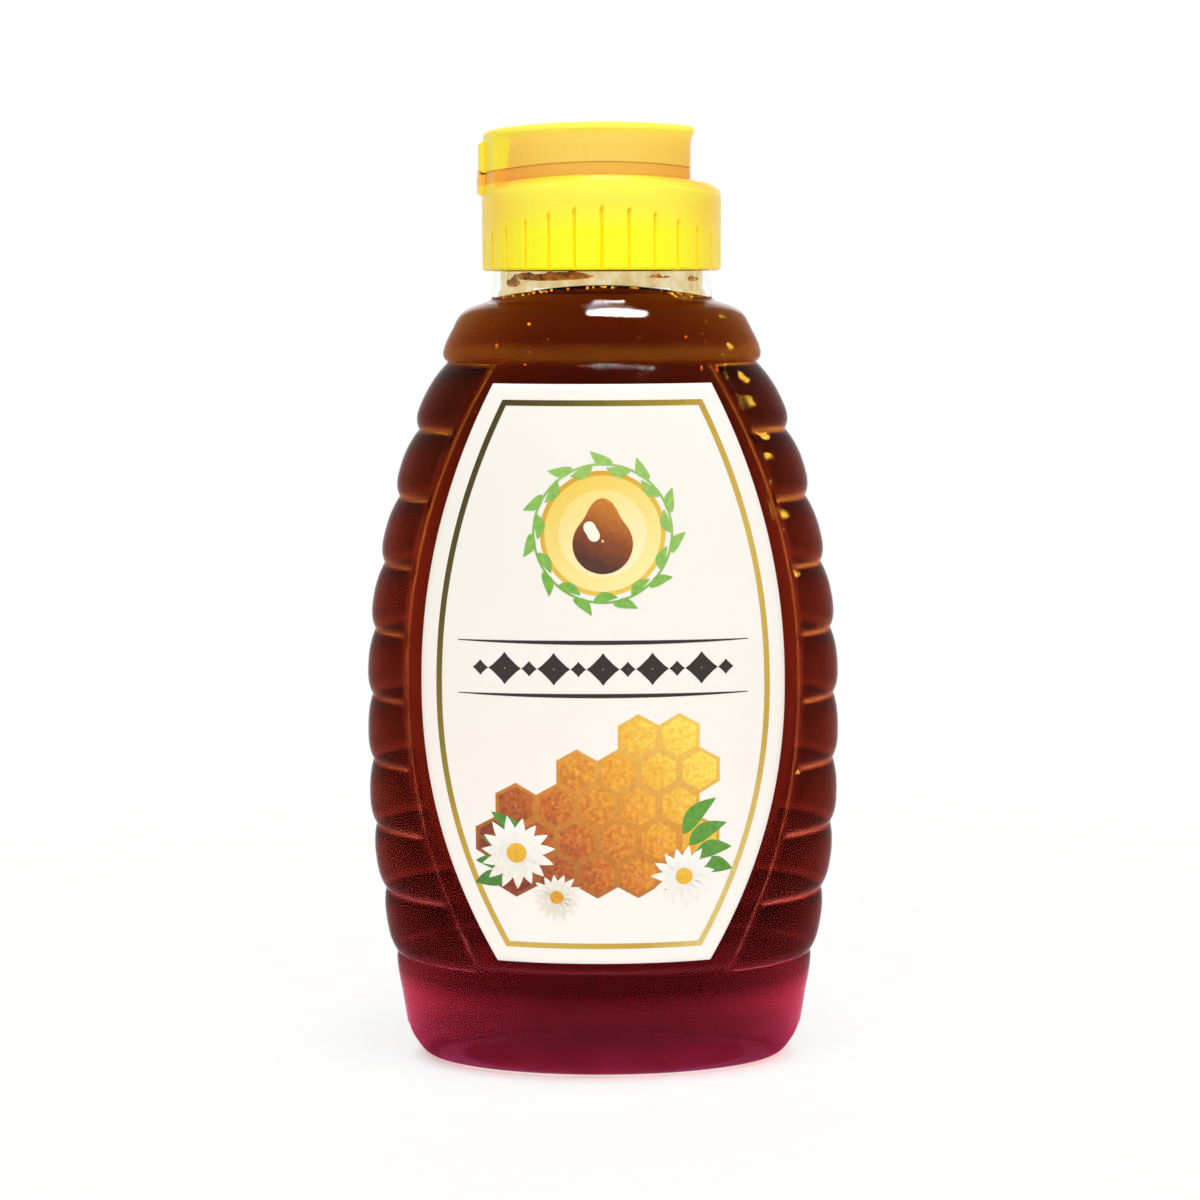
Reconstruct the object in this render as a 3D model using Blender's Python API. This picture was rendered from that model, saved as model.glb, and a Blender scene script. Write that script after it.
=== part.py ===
"""Squeeze bottle of honey with a ribbed beehive body and a flip-top screw closure.

Units are metres, +Z is up and -Y is the front. The origin is the middle of the standing ring.
Driving sizes come first, then the heights and radii worked out from them, then one function
for each piece. A pose of zero is the closed, screwed-down closure.
"""

import math

import bmesh
import bpy
import numpy as np

# Clearance between neighbouring pieces
GAP = 0.0003
OVERRUN = 0.002

# Blow-moulded body
BODY_WIDTH = 0.0864
BODY_DEPTH = 0.0500
BODY_WALL = 0.0009
BASE_HEIGHT = 0.0201
FOOT_INSET = 0.0055
RING_COUNT = 9
RING_PITCH = 0.01211
RING_BULGE = 0.0016
SHOULDER_HEIGHT = 0.0108
SHOULDER_BULGE = 0.0004
PUSH_UP = 0.0025

# Widths and depths at the grooves between the rings, from the lowest groove up
GROOVE_WIDTH_SHARES = (0.891, 0.938, 0.974, 0.983, 0.983, 0.967, 0.924, 0.857, 0.771, 0.648)
GROOVE_DEPTH_SHARES = (0.870, 0.905, 0.935, 0.958, 0.972, 0.980, 0.980, 0.972, 0.950, 0.905)
# How far each ring swells past its grooves, as shares of RING_BULGE
RING_BULGE_SHARES = (0.62, 0.60, 0.58, 0.56, 0.62, 0.68, 0.72, 0.84, 1.0)
# Heights on a ring, from its groove up, and how much of its swell stands there
RING_ROW_SHARES = (0.0, 0.14, 0.50, 0.82)
RING_SWELL_SHARES = (0.0, 0.72, 1.0, 0.62)

# Base section: heights as shares of its own, and how much of FOOT_INSET it is drawn in there
BASE_ROW_SHARES = (0.0, 0.02, 0.06, 0.13, 0.23, 0.46, 0.77, 0.955)
BASE_INSET_SHARES = (1.0, 0.84, 0.71, 0.54, 0.37, 0.22, 0.03, -0.03)
HEEL_ROW = 4
STANDING_INNER_SHARE = 0.66
PUSH_UP_SHARES = ((0.46, 0.72), (0.22, 0.95))
FLOOR_SHARE = 0.86

# Shoulder: height, and how far the outline has gone from the top groove to the neck
SHOULDER_ROW_SHARES = (0.06, 0.20, 0.46, 0.70, 0.88, 0.96)
SHOULDER_SWELL_SHARES = (0.75, 1.0, 1.0, 1.0, 0.6, 0.2)
SHOULDER_TO_NECK_SHARES = (0.0, 0.02, 0.15, 0.30, 0.50, 0.76)

# Smooth label panel on the front and the back, with a raised border
PANEL_WIDTH = 0.0708
PANEL_CORNER_WIDTH = 0.0416
PANEL_WIDEST_SHARE = 0.475
PANEL_CURVE = 2.15
PANEL_BORDER = 0.0012
PANEL_BORDER_PROUD = 0.00035
PANEL_REACH_SHARE = 0.96

# Neck
NECK_RADIUS = 0.0199
COLLAR_HEIGHT = 0.0066
FINISH_STEP = 0.0015
FINISH_WALL = 0.0020
FINISH_HEIGHT = 0.0108
COLLAR_WALL = 0.0013

# Honey
HONEY_OVER_SHOULDER = 0.0018

# Front label
LABEL_WIDTH = 0.0644
LABEL_CORNER_WIDTH = 0.0379
LABEL_THICKNESS = 0.0003
LABEL_MARGIN = 0.0032
LABEL_CURVE = 2.1

# Closure, shared sizes
SKIRT_WALL = 0.0013
SKIRT_OVERLAP = 0.0011
EDGE_CHAMFER = 0.0004
RIM_FILLET = 0.0020
CROWN_DROP = 0.0013
WAIST_HEIGHT = 0.0020
WAIST_RECESS = 0.0018
DECK_THICKNESS = 0.0011
LEDGE_RISE = 0.0013
LEDGE_WIDTH = 0.0015

# Grip flutes round the skirt
GRIP_COUNT = 28
GRIP_DEPTH = 0.00045
GRIP_HALF_WIDTH = 0.00042
GRIP_PIT_DEPTH = 0.0007
GRIP_HEIGHT = 0.0112
GRIP_ARCH_DROP = 0.0056
GRIP_TAPER = 0.0008

# Lid
LID_HEIGHT = 0.0068
LID_CROWN_DROP = 0.0006
LID_INSET = 0.0003
LID_WALL = 0.0012
LID_TOP = 0.0022
LID_EDGE_FILLET = 0.0007
LID_BAND_HEIGHT = 0.0011
LID_COVE_HEIGHT = 0.0021
COVE_HEIGHT_SHARES = (0.30, 0.62, 0.86)
COVE_REACH_SHARES = (0.06, 0.28, 0.62)
LID_FACE_SHARES = (0.72, 0.40)
THUMB_FLAT_SHARE = 0.77
THUMB_SETBACK = 0.0006
CORNER_SHARPNESS = 40
LEAST_COSINE = 0.01

# Living hinge at -X: the angle of wall left standing beside it, and its two pads
HINGE_HALF_ANGLE = math.radians(26)
HINGE_RAMP_ANGLE = math.radians(8)
PAD_HALF_ANGLE = math.radians(14)
PAD_PROUD = 0.0009
PAD_DEPTH = 0.0010
PAD_BASE_HEIGHT = 0.0035
PAD_LID_HEIGHT = 0.0055

# Orifice, valve, retainer and seal
ORIFICE_RADIUS = 0.0055
LIP_WALL = 0.0012
PLUG_CLEARANCE = 0.0007
PLUG_WALL = 0.0011
PLUG_OVERLAP = 0.0006
POCKET_RADIUS = 0.0092
POCKET_WALL = 0.0012
VALVE_FLANGE = 0.0010
VALVE_MEMBRANE = 0.0007
VALVE_DISH = 0.0009
RETAINER_HEIGHT = 0.0009
RETAINER_WIDTH = 0.0023
DISH_SHARES = ((0.5, 0.30), (1.0, 1.0))
SEAL_THICKNESS = 0.0010
SEAL_WIDTH = 0.0035

# Facets
QUARTER_PANEL_STEPS = 6
QUARTER_SIDE_STEPS = 5
BORE_STEPS = 36
ROUND_STEPS = 36
LID_ARC_STEPS = 20
LID_FLAT_STEPS = 7
CORNER_STEP = math.radians(2.5)
PAD_STEPS = 6
FILLET_STEPS = 3
LABEL_STEPS = 14
LABEL_ROWS = 12

# Heights worked out from the sizes above
Z_TOP_GROOVE = BASE_HEIGHT + RING_COUNT * RING_PITCH
Z_COLLAR = Z_TOP_GROOVE + SHOULDER_HEIGHT
Z_FINISH = Z_COLLAR + COLLAR_HEIGHT
Z_NECK_RIM = Z_FINISH + FINISH_HEIGHT
Z_HONEY = Z_COLLAR + HONEY_OVER_SHOULDER
Z_SEAL = Z_NECK_RIM + GAP
Z_SHELF = Z_SEAL + SEAL_THICKNESS + GAP
Z_DECK_UNDER = Z_SHELF + RETAINER_HEIGHT + VALVE_FLANGE + 2 * GAP
Z_DECK = Z_DECK_UNDER + DECK_THICKNESS
Z_PARTING = Z_DECK + LEDGE_RISE
Z_RIM_TOP = Z_PARTING - WAIST_HEIGHT
Z_WALL_TOP = Z_RIM_TOP - RIM_FILLET
Z_SKIRT = Z_FINISH - SKIRT_OVERLAP
Z_LID_TOP = Z_PARTING + LID_HEIGHT
Z_LID_CEILING = Z_LID_TOP - LID_TOP
Z_LID_BAND = Z_LID_TOP - LID_BAND_HEIGHT
Z_LID_COVE = Z_LID_BAND - LID_COVE_HEIGHT
Z_LIP_TOP = Z_DECK + LIP_WALL
Z_PLUG = Z_LIP_TOP - PLUG_OVERLAP
Z_VALVE_TOP = Z_DECK_UNDER - GAP
Z_VALVE_UNDER = Z_VALVE_TOP - VALVE_FLANGE
Z_HINGE = Z_PARTING - CROWN_DROP
Z_CROWN_START = Z_WALL_TOP - GRIP_ARCH_DROP

# Radii worked out from the sizes above
FINISH_RADIUS = NECK_RADIUS - FINISH_STEP
MOUTH_RADIUS = FINISH_RADIUS - FINISH_WALL
COLLAR_BORE = NECK_RADIUS - COLLAR_WALL
SKIRT_BORE = NECK_RADIUS + GAP
SKIRT_RADIUS = SKIRT_BORE + SKIRT_WALL
LID_RADIUS = SKIRT_RADIUS - LID_INSET
HINGE_X = -(SKIRT_RADIUS + PAD_PROUD)
SEAL_RADIUS = FINISH_RADIUS - GAP
SEAL_HOLE = SEAL_RADIUS - SEAL_WIDTH
PART_RADIUS = POCKET_RADIUS - GAP

GROOVE_HEIGHTS = BASE_HEIGHT + RING_PITCH * np.arange(RING_COUNT + 1)
GROOVE_HALF_WIDTHS = BODY_WIDTH / 2 * np.array(GROOVE_WIDTH_SHARES)
GROOVE_HALF_DEPTHS = BODY_DEPTH / 2 * np.array(GROOVE_DEPTH_SHARES)
FOOT_HALF_WIDTH = GROOVE_HALF_WIDTHS[0] - FOOT_INSET
FOOT_HALF_DEPTH = GROOVE_HALF_DEPTHS[0] - FOOT_INSET


def clear_scene():
    for old in list(bpy.data.objects):
        bpy.data.objects.remove(old, do_unlink=True)


def plastic(name, colour, roughness, alpha=1.0, transmission=0.0):
    """A Principled material: colour is linear red, green and blue."""
    material = bpy.data.materials.new(name)
    material.use_nodes = True
    shader = material.node_tree.nodes["Principled BSDF"]
    shader.inputs["Base Color"].default_value = (*colour, 1.0)
    shader.inputs["Roughness"].default_value = roughness
    shader.inputs["Metallic"].default_value = 0.0
    shader.inputs["Alpha"].default_value = alpha
    shader.inputs["Transmission Weight"].default_value = transmission
    return material


def add_object(name, bm, material, origin=(0.0, 0.0, 0.0), sharp_angle=math.radians(35)):
    """Turns a bmesh into a named object whose origin is at the given point."""
    bmesh.ops.recalc_face_normals(bm, faces=bm.faces)
    bmesh.ops.translate(bm, verts=bm.verts, vec=[-value for value in origin])
    mesh = bpy.data.meshes.new(name)
    bm.to_mesh(mesh)
    bm.free()
    mesh.shade_smooth()
    mesh.set_sharp_from_angle(angle=sharp_angle)
    mesh.materials.append(material)
    piece = bpy.data.objects.new(name, mesh)
    piece.location = origin
    bpy.context.scene.collection.objects.link(piece)
    return piece


def cutter(name, bm, material):
    piece = add_object(name, bm, material)
    piece.hide_render = True
    piece.display_type = "WIRE"
    return piece


def combine(piece, other, operation):
    modifier = piece.modifiers.new(other.name, "BOOLEAN")
    modifier.operation = operation
    modifier.solver = "EXACT"
    modifier.object = other


def loft(bm, loops, close_start=True, close_end=True):
    """Skins closed loops of equally many points, and caps the first and last with one face."""
    rows = [[bm.verts.new(point) for point in loop] for loop in loops]
    count = len(rows[0])
    for lower, upper in zip(rows, rows[1:]):
        for i in range(count):
            j = (i + 1) % count
            bm.faces.new((lower[i], lower[j], upper[j], upper[i]))
    if close_start:
        bm.faces.new(rows[0][::-1])
    if close_end:
        bm.faces.new(rows[-1])
    return rows


def revolve(profile, steps=ROUND_STEPS):
    """Spins a closed profile of (radius, height) points round Z. Points at radius zero meet."""
    bm = bmesh.new()
    corners = [bm.verts.new((radius, 0.0, z)) for radius, z in profile]
    edges = [bm.edges.new((a, b)) for a, b in zip(corners, corners[1:] + corners[:1])]
    on_axis = [edge for edge in edges if all(v.co.x == 0 for v in edge.verts)]
    turned = [edge for edge in edges if edge not in on_axis]
    for edge in on_axis:
        bm.edges.remove(edge)
    bmesh.ops.spin(
        bm, geom=corners + turned, cent=(0, 0, 0), axis=(0, 0, 1), angle=math.tau, steps=steps
    )
    bmesh.ops.remove_doubles(bm, verts=bm.verts, dist=GAP / 100)
    return bm


def smooth_step(value, start, end):
    share = np.clip((value - start) / (end - start), 0.0, 1.0)
    return share * share * (3 - 2 * share)


def oval(half_width, half_depth, z, turn):
    """Points of an ellipse, with turn 0 at the front and a quarter turn at +X."""
    x = half_width * np.sin(turn)
    y = -half_depth * np.cos(turn)
    return np.column_stack([x, y, np.full_like(x, z)])


def groove_half_sizes(z):
    """Half width and half depth of the barrel through the bottoms of its grooves."""
    return (
        float(np.interp(z, GROOVE_HEIGHTS, GROOVE_HALF_WIDTHS)),
        float(np.interp(z, GROOVE_HEIGHTS, GROOVE_HALF_DEPTHS)),
    )


def crest_swell(z):
    """How far the tops of the rings stand out from the grooves at a height."""
    middles = GROOVE_HEIGHTS[:-1] + RING_PITCH / 2
    return float(np.interp(z, middles, RING_BULGE * np.array(RING_BULGE_SHARES)))


def barrel_half_width(z, low, high, widest_share, corner_width, width, curve):
    """Half width at a height of an outline that swells from its corners to its widest height."""
    widest = low + widest_share * (high - low)
    reach = widest - low if z < widest else high - widest
    share = min(abs(z - widest) / reach, 1.0)
    return (corner_width + (width - corner_width) * (1 - share**curve)) / 2


def panel_half_width(z):
    z = min(max(z, BASE_HEIGHT), Z_TOP_GROOVE)
    return barrel_half_width(
        z, BASE_HEIGHT, Z_TOP_GROOVE, PANEL_WIDEST_SHARE,
        PANEL_CORNER_WIDTH, PANEL_WIDTH, PANEL_CURVE,
    )


def body_loop(z, half_width, half_depth, ring_swell, panel_swell):
    """One loop of the body: panel, raised border and ring side, for each of the four quarters."""
    edge = panel_half_width(z)
    wide = half_width + panel_swell
    edge_turn = math.asin(min(edge / wide, PANEL_REACH_SHARE))
    speed = math.hypot(wide * math.cos(edge_turn), half_depth * math.sin(edge_turn))
    border_turn = min(PANEL_BORDER / speed, (math.pi / 2 - edge_turn) / QUARTER_SIDE_STEPS)
    panel = np.linspace(0.0, edge_turn - border_turn, QUARTER_PANEL_STEPS)
    side = np.linspace(edge_turn + border_turn, math.pi / 2, QUARTER_SIDE_STEPS)
    turn = np.concatenate([panel, [edge_turn], side])
    on_panel = panel_swell > 0
    border = panel_swell + PANEL_BORDER_PROUD if on_panel else ring_swell
    inner = panel_swell if on_panel else ring_swell
    swell = np.concatenate([np.full_like(panel, inner), [border], np.full_like(side, ring_swell)])
    turn = np.concatenate([turn, math.pi - turn[-2::-1]])
    swell = np.concatenate([swell, swell[-2::-1]])
    turn = np.concatenate([turn, turn[1:-1] + math.pi])
    swell = np.concatenate([swell, swell[1:-1]])
    return oval(half_width + swell, half_depth + swell, z, turn)


def foot_loop(z, share):
    """A loop of the base's underside at a share of the foot's own half sizes."""
    return body_loop(z, FOOT_HALF_WIDTH * share, FOOT_HALF_DEPTH * share, 0.0, 0.0)


def base_loops():
    """From the pushed-up centre over the standing ring and up the base section."""
    loops = [foot_loop(PUSH_UP * rise, share) for share, rise in reversed(PUSH_UP_SHARES)]
    loops.append(foot_loop(0.0, STANDING_INNER_SHARE))
    for row, share in zip(BASE_ROW_SHARES, BASE_INSET_SHARES):
        inset = FOOT_INSET * share
        half_width, half_depth = GROOVE_HALF_WIDTHS[0] - inset, GROOVE_HALF_DEPTHS[0] - inset
        loops.append(body_loop(row * BASE_HEIGHT, half_width, half_depth, 0.0, 0.0))
    return loops


def ring_loops():
    """The nine rings, each rising from its groove, with the panel standing level with their crests."""
    loops = []
    for ring in range(RING_COUNT):
        swell = RING_BULGE * RING_BULGE_SHARES[ring]
        for row, share in zip(RING_ROW_SHARES, RING_SWELL_SHARES):
            z = GROOVE_HEIGHTS[ring] + row * RING_PITCH
            half_width, half_depth = groove_half_sizes(z)
            first_groove = ring == 0 and row == 0
            panel = 0.0 if first_groove else crest_swell(z)
            loops.append(body_loop(z, half_width, half_depth, swell * share, panel))
    loops.append(body_loop(Z_TOP_GROOVE, GROOVE_HALF_WIDTHS[-1], GROOVE_HALF_DEPTHS[-1], 0.0, 0.0))
    return loops


def shoulder_half_sizes(to_neck):
    half_width = GROOVE_HALF_WIDTHS[-1] + to_neck * (NECK_RADIUS - GROOVE_HALF_WIDTHS[-1])
    half_depth = GROOVE_HALF_DEPTHS[-1] + to_neck * (NECK_RADIUS - GROOVE_HALF_DEPTHS[-1])
    return half_width, half_depth


def shoulder_loops():
    loops = []
    rows = zip(SHOULDER_ROW_SHARES, SHOULDER_SWELL_SHARES, SHOULDER_TO_NECK_SHARES)
    for row, swell, to_neck in rows:
        half_width, half_depth = shoulder_half_sizes(to_neck)
        z = Z_TOP_GROOVE + row * SHOULDER_HEIGHT
        loops.append(body_loop(z, half_width, half_depth, SHOULDER_BULGE * swell, 0.0))
    return loops


def neck_loops():
    """Collar, the step in to the finish that carries the thread, and the rim."""
    rows = (
        (Z_COLLAR, NECK_RADIUS),
        (Z_FINISH, NECK_RADIUS),
        (Z_FINISH + FINISH_STEP / 2, FINISH_RADIUS),
        (Z_NECK_RIM - EDGE_CHAMFER, FINISH_RADIUS),
        (Z_NECK_RIM, FINISH_RADIUS - EDGE_CHAMFER),
    )
    return [body_loop(z, radius, radius, 0.0, 0.0) for z, radius in rows]


def inside_loops(inset, top_rows):
    """The space inside the body wall, drawn in by an inset, under the given (height, radius) rows."""
    turn = np.linspace(0.0, math.tau, BORE_STEPS, endpoint=False)
    floor = PUSH_UP + inset
    half_width, half_depth = FOOT_HALF_WIDTH * FLOOR_SHARE, FOOT_HALF_DEPTH * FLOOR_SHARE
    loops = [oval(half_width - inset, half_depth - inset, floor, turn)]
    inwards = inset + FOOT_INSET * BASE_INSET_SHARES[HEEL_ROW]
    half_width, half_depth = GROOVE_HALF_WIDTHS[0] - inwards, GROOVE_HALF_DEPTHS[0] - inwards
    loops.append(oval(half_width, half_depth, floor + BASE_HEIGHT * BASE_ROW_SHARES[HEEL_ROW], turn))
    for z, half_width, half_depth in zip(GROOVE_HEIGHTS, GROOVE_HALF_WIDTHS, GROOVE_HALF_DEPTHS):
        loops.append(oval(half_width - inset, half_depth - inset, z, turn))
    for row, to_neck in tuple(zip(SHOULDER_ROW_SHARES, SHOULDER_TO_NECK_SHARES))[2:5]:
        half_width, half_depth = shoulder_half_sizes(to_neck)
        z = Z_TOP_GROOVE + row * SHOULDER_HEIGHT - inset
        loops.append(oval(half_width - inset, half_depth - inset, z, turn))
    loops.extend(oval(radius, radius, z, turn) for z, radius in top_rows)
    return loops


def make_bottle(material):
    bm = bmesh.new()
    loft(bm, base_loops() + ring_loops() + shoulder_loops() + neck_loops())
    bottle = add_object("bottle", bm, material)
    bm = bmesh.new()
    mouth_rows = (
        (Z_COLLAR, COLLAR_BORE),
        (Z_FINISH - FINISH_STEP, COLLAR_BORE),
        (Z_FINISH + FINISH_STEP, MOUTH_RADIUS),
        (Z_NECK_RIM + OVERRUN, MOUTH_RADIUS),
    )
    loft(bm, inside_loops(BODY_WALL, mouth_rows))
    combine(bottle, cutter("bottle_inside", bm, material), "DIFFERENCE")


def make_honey(material):
    bm = bmesh.new()
    radius = COLLAR_BORE - GAP
    loft(bm, inside_loops(BODY_WALL + GAP, ((Z_COLLAR - GAP, radius), (Z_HONEY, radius))))
    add_object("honey", bm, material)


def label_half_width(z, low, high):
    widest_share = PANEL_WIDEST_SHARE
    return barrel_half_width(
        z, low, high, widest_share, LABEL_CORNER_WIDTH, LABEL_WIDTH, LABEL_CURVE
    )


def make_label(material):
    """A thin sheet on the front panel: an inner and an outer grid sewn along their border."""
    low, high = BASE_HEIGHT + LABEL_MARGIN, Z_TOP_GROOVE - LABEL_MARGIN
    loops = []
    for z in np.linspace(low, high, LABEL_ROWS + 1):
        half_width, half_depth = groove_half_sizes(z)
        swell = crest_swell(z)
        edge_turn = math.asin(label_half_width(z, low, high) / (half_width + swell))
        turn = np.linspace(-edge_turn, edge_turn, LABEL_STEPS + 1)
        inner, outer = swell + GAP, swell + GAP + LABEL_THICKNESS
        back = oval(half_width + inner, half_depth + inner, z, turn)
        front = oval(half_width + outer, half_depth + outer, z, turn)
        loops.append(np.concatenate([back, front[::-1]]))
    bm = bmesh.new()
    rows = loft(bm, loops, close_start=False, close_end=False)
    for row in (rows[0], rows[-1]):
        for i in range(LABEL_STEPS):
            j = 2 * LABEL_STEPS + 1 - i
            bm.faces.new((row[i], row[i + 1], row[j - 1], row[j]))
    add_object("front_label", bm, material)


def crown(x, z):
    """How far the closure's crowned top has fallen at a distance from its middle plane. The crown
    grows up the skirt's wall, and the lid's top is flatter than the rim."""
    drop = CROWN_DROP * smooth_step(z, Z_CROWN_START, Z_WALL_TOP)
    drop -= (CROWN_DROP - LID_CROWN_DROP) * smooth_step(z, Z_PARTING, Z_LID_BAND)
    return drop * (x / SKIRT_RADIUS) ** 2


def from_hinge(angle):
    """Angle away from the hinge side, which lies at -X. Angle zero is +X."""
    return np.abs(math.pi - np.abs(angle))


def recess_weight(angle):
    """0 beside the hinge, where the wall stands full width, and 1 round the rest."""
    end = HINGE_HALF_ANGLE + HINGE_RAMP_ANGLE
    return smooth_step(from_hinge(angle), HINGE_HALF_ANGLE, end)


def cut_outline(angle, radius, setback):
    """Radius of a circle cut off at the thumb flat, with its two corners rounded."""
    flat = THUMB_FLAT_SHARE * LID_RADIUS - setback
    towards = np.maximum(np.cos(angle), LEAST_COSINE)
    share = (radius * towards / flat) ** CORNER_SHARPNESS
    return radius * (1 + share) ** (-1 / CORNER_SHARPNESS)


def waist_radius(angle):
    """Outline shared by the base's waist and the lid's wall."""
    recessed = cut_outline(angle, LID_RADIUS - WAIST_RECESS, THUMB_SETBACK)
    weight = recess_weight(angle)
    return LID_RADIUS * (1 - weight) + recessed * weight


def ring_points(angle, radius, z):
    """One loop of the closure at a radius and a height, lowered by the crown."""
    radius = np.broadcast_to(radius, angle.shape)
    z = np.broadcast_to(z, angle.shape)
    x = radius * np.cos(angle)
    return np.column_stack([x, radius * np.sin(angle), z - crown(x, z)])


def level_points(angle, radius, z):
    radius = np.broadcast_to(radius, angle.shape)
    return np.column_stack([radius * np.cos(angle), radius * np.sin(angle), np.full_like(angle, z)])


def skirt_angles():
    """Each grip flute has two edges and a middle, and the wall between two flutes has one column."""
    pitch = math.tau / GRIP_COUNT
    half = GRIP_HALF_WIDTH / SKIRT_RADIUS
    within = np.array([-half, 0.0, half, pitch / 2])
    angle = (pitch * np.arange(GRIP_COUNT)[:, None] + within).ravel()
    flute = np.tile([0.0, 1.0, 0.0, 0.0], GRIP_COUNT)
    return np.where(angle > math.pi, angle - math.tau, angle), flute


def skirt_loops():
    """The fluted skirt, its rounded rim, the waist under the lid, the sunken deck and the lip."""
    angle, flute = skirt_angles()
    arch = Z_SKIRT + GRIP_HEIGHT - GRIP_ARCH_DROP * np.cos(angle) ** 2
    waist = waist_radius(angle)
    reach = np.minimum(SKIRT_RADIUS - waist, RIM_FILLET)
    ledge = waist - LEDGE_WIDTH
    grooved = SKIRT_RADIUS - GRIP_DEPTH * flute
    loops = [
        ring_points(angle, SKIRT_RADIUS - EDGE_CHAMFER, Z_SKIRT),
        ring_points(angle, grooved, Z_SKIRT + EDGE_CHAMFER),
        ring_points(angle, grooved, arch - 2 * GRIP_TAPER),
        ring_points(angle, SKIRT_RADIUS - GRIP_PIT_DEPTH * flute, arch - GRIP_TAPER),
        ring_points(angle, SKIRT_RADIUS, arch),
    ]
    for bend in np.linspace(0.0, math.pi / 2, FILLET_STEPS + 1):
        radius = SKIRT_RADIUS - reach * (1 - math.cos(bend))
        loops.append(ring_points(angle, radius, Z_WALL_TOP + RIM_FILLET * math.sin(bend)))
    foot = Z_RIM_TOP + GAP * (1 - recess_weight(angle))
    lip_radius = ORIFICE_RADIUS + LIP_WALL
    loops.extend([
        ring_points(angle, waist, foot),
        ring_points(angle, waist, Z_PARTING - GAP / 2),
        ring_points(angle, ledge, Z_PARTING - GAP / 2),
        level_points(angle, ledge, Z_DECK),
        level_points(angle, lip_radius, Z_DECK),
        level_points(angle, lip_radius, Z_LIP_TOP - EDGE_CHAMFER),
        level_points(angle, lip_radius - EDGE_CHAMFER, Z_LIP_TOP),
    ])
    return loops


def closure_inside():
    """What is hollow under the closure: the skirt's bore, a moat, the valve's pocket and the orifice."""
    pocket_wall = POCKET_RADIUS + POCKET_WALL
    return revolve([
        (0.0, Z_SKIRT - OVERRUN),
        (SKIRT_BORE, Z_SKIRT - OVERRUN),
        (SKIRT_BORE, Z_SHELF),
        (SEAL_HOLE, Z_SHELF),
        (SEAL_HOLE, Z_DECK_UNDER),
        (pocket_wall, Z_DECK_UNDER),
        (pocket_wall, Z_SHELF),
        (POCKET_RADIUS, Z_SHELF),
        (POCKET_RADIUS, Z_DECK_UNDER),
        (ORIFICE_RADIUS, Z_DECK_UNDER),
        (ORIFICE_RADIUS, Z_LIP_TOP + OVERRUN),
        (0.0, Z_LIP_TOP + OVERRUN),
    ])


def hinge_pad(low, high, face_radius):
    """A raised pad on the wall at the hinge side, with its outer edges chamfered."""
    turn = np.linspace(-PAD_HALF_ANGLE, PAD_HALF_ANGLE, PAD_STEPS + 1) + math.pi
    inner = face_radius - PAD_PROUD - PAD_DEPTH
    loops = []
    for radius, shrink in ((inner, 0.0), (face_radius - EDGE_CHAMFER, 0.0), (face_radius, EDGE_CHAMFER)):
        turned = turn + shrink / face_radius * np.linspace(1, -1, PAD_STEPS + 1)
        lower = level_points(turned, radius, low + shrink)
        upper = level_points(turned, radius, high - shrink)
        loops.append(np.concatenate([lower, upper[::-1]]))
    bm = bmesh.new()
    rows = loft(bm, loops, close_start=False, close_end=False)
    for row in (rows[0], rows[-1]):
        for i in range(PAD_STEPS):
            j = 2 * PAD_STEPS + 1 - i
            bm.faces.new((row[i], row[i + 1], row[j - 1], row[j]))
    return bm


def make_closure_base(material):
    bm = bmesh.new()
    loft(bm, skirt_loops())
    base = add_object("closure_base", bm, material)
    top = Z_HINGE - GAP / 2
    pad = hinge_pad(top - PAD_BASE_HEIGHT, top, SKIRT_RADIUS + PAD_PROUD)
    combine(base, cutter("base_hinge_pad", pad, material), "UNION")
    combine(base, cutter("closure_inside", closure_inside(), material), "DIFFERENCE")


def lid_angles():
    """Columns round the lid: closer at the corners of the thumb flat and at the ends of the recess."""
    corner = math.acos(THUMB_FLAT_SHARE)
    hinge_end = math.pi - HINGE_HALF_ANGLE
    ramp_end = hinge_end - HINGE_RAMP_ANGLE
    flat = np.linspace(0.0, corner - CORNER_STEP, LID_FLAT_STEPS)
    arc = np.linspace(corner + CORNER_STEP, ramp_end, LID_ARC_STEPS)
    hinge = np.linspace(hinge_end, math.pi, PAD_STEPS)
    middle = [(hinge_end + ramp_end) / 2]
    half = np.concatenate([flat, [corner], arc, middle, hinge])
    return np.concatenate([half, -half[-2:0:-1]])


def lid_loops():
    """Wall over the waist, a cove out to the band, and the crowned top face."""
    angle = lid_angles()
    waist = waist_radius(angle)
    outline = cut_outline(angle, LID_RADIUS, 0.0)
    loops = [
        ring_points(angle, waist, Z_PARTING + GAP / 2),
        ring_points(angle, waist, Z_LID_COVE),
    ]
    for rise, out in zip(COVE_HEIGHT_SHARES, COVE_REACH_SHARES):
        radius = waist + (outline - waist) * out
        loops.append(ring_points(angle, radius, Z_LID_COVE + rise * LID_COVE_HEIGHT))
    for bend in np.linspace(0.0, math.pi / 2, FILLET_STEPS):
        inset = LID_EDGE_FILLET * (1 - math.cos(bend))
        z = Z_LID_TOP - LID_EDGE_FILLET * (1 - math.sin(bend))
        if bend == 0:
            loops.append(ring_points(angle, outline, Z_LID_BAND))
        loops.append(ring_points(angle, outline - inset, z))
    for share in LID_FACE_SHARES:
        loops.append(ring_points(angle, (outline - LID_EDGE_FILLET) * share, Z_LID_TOP))
    return loops


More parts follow.
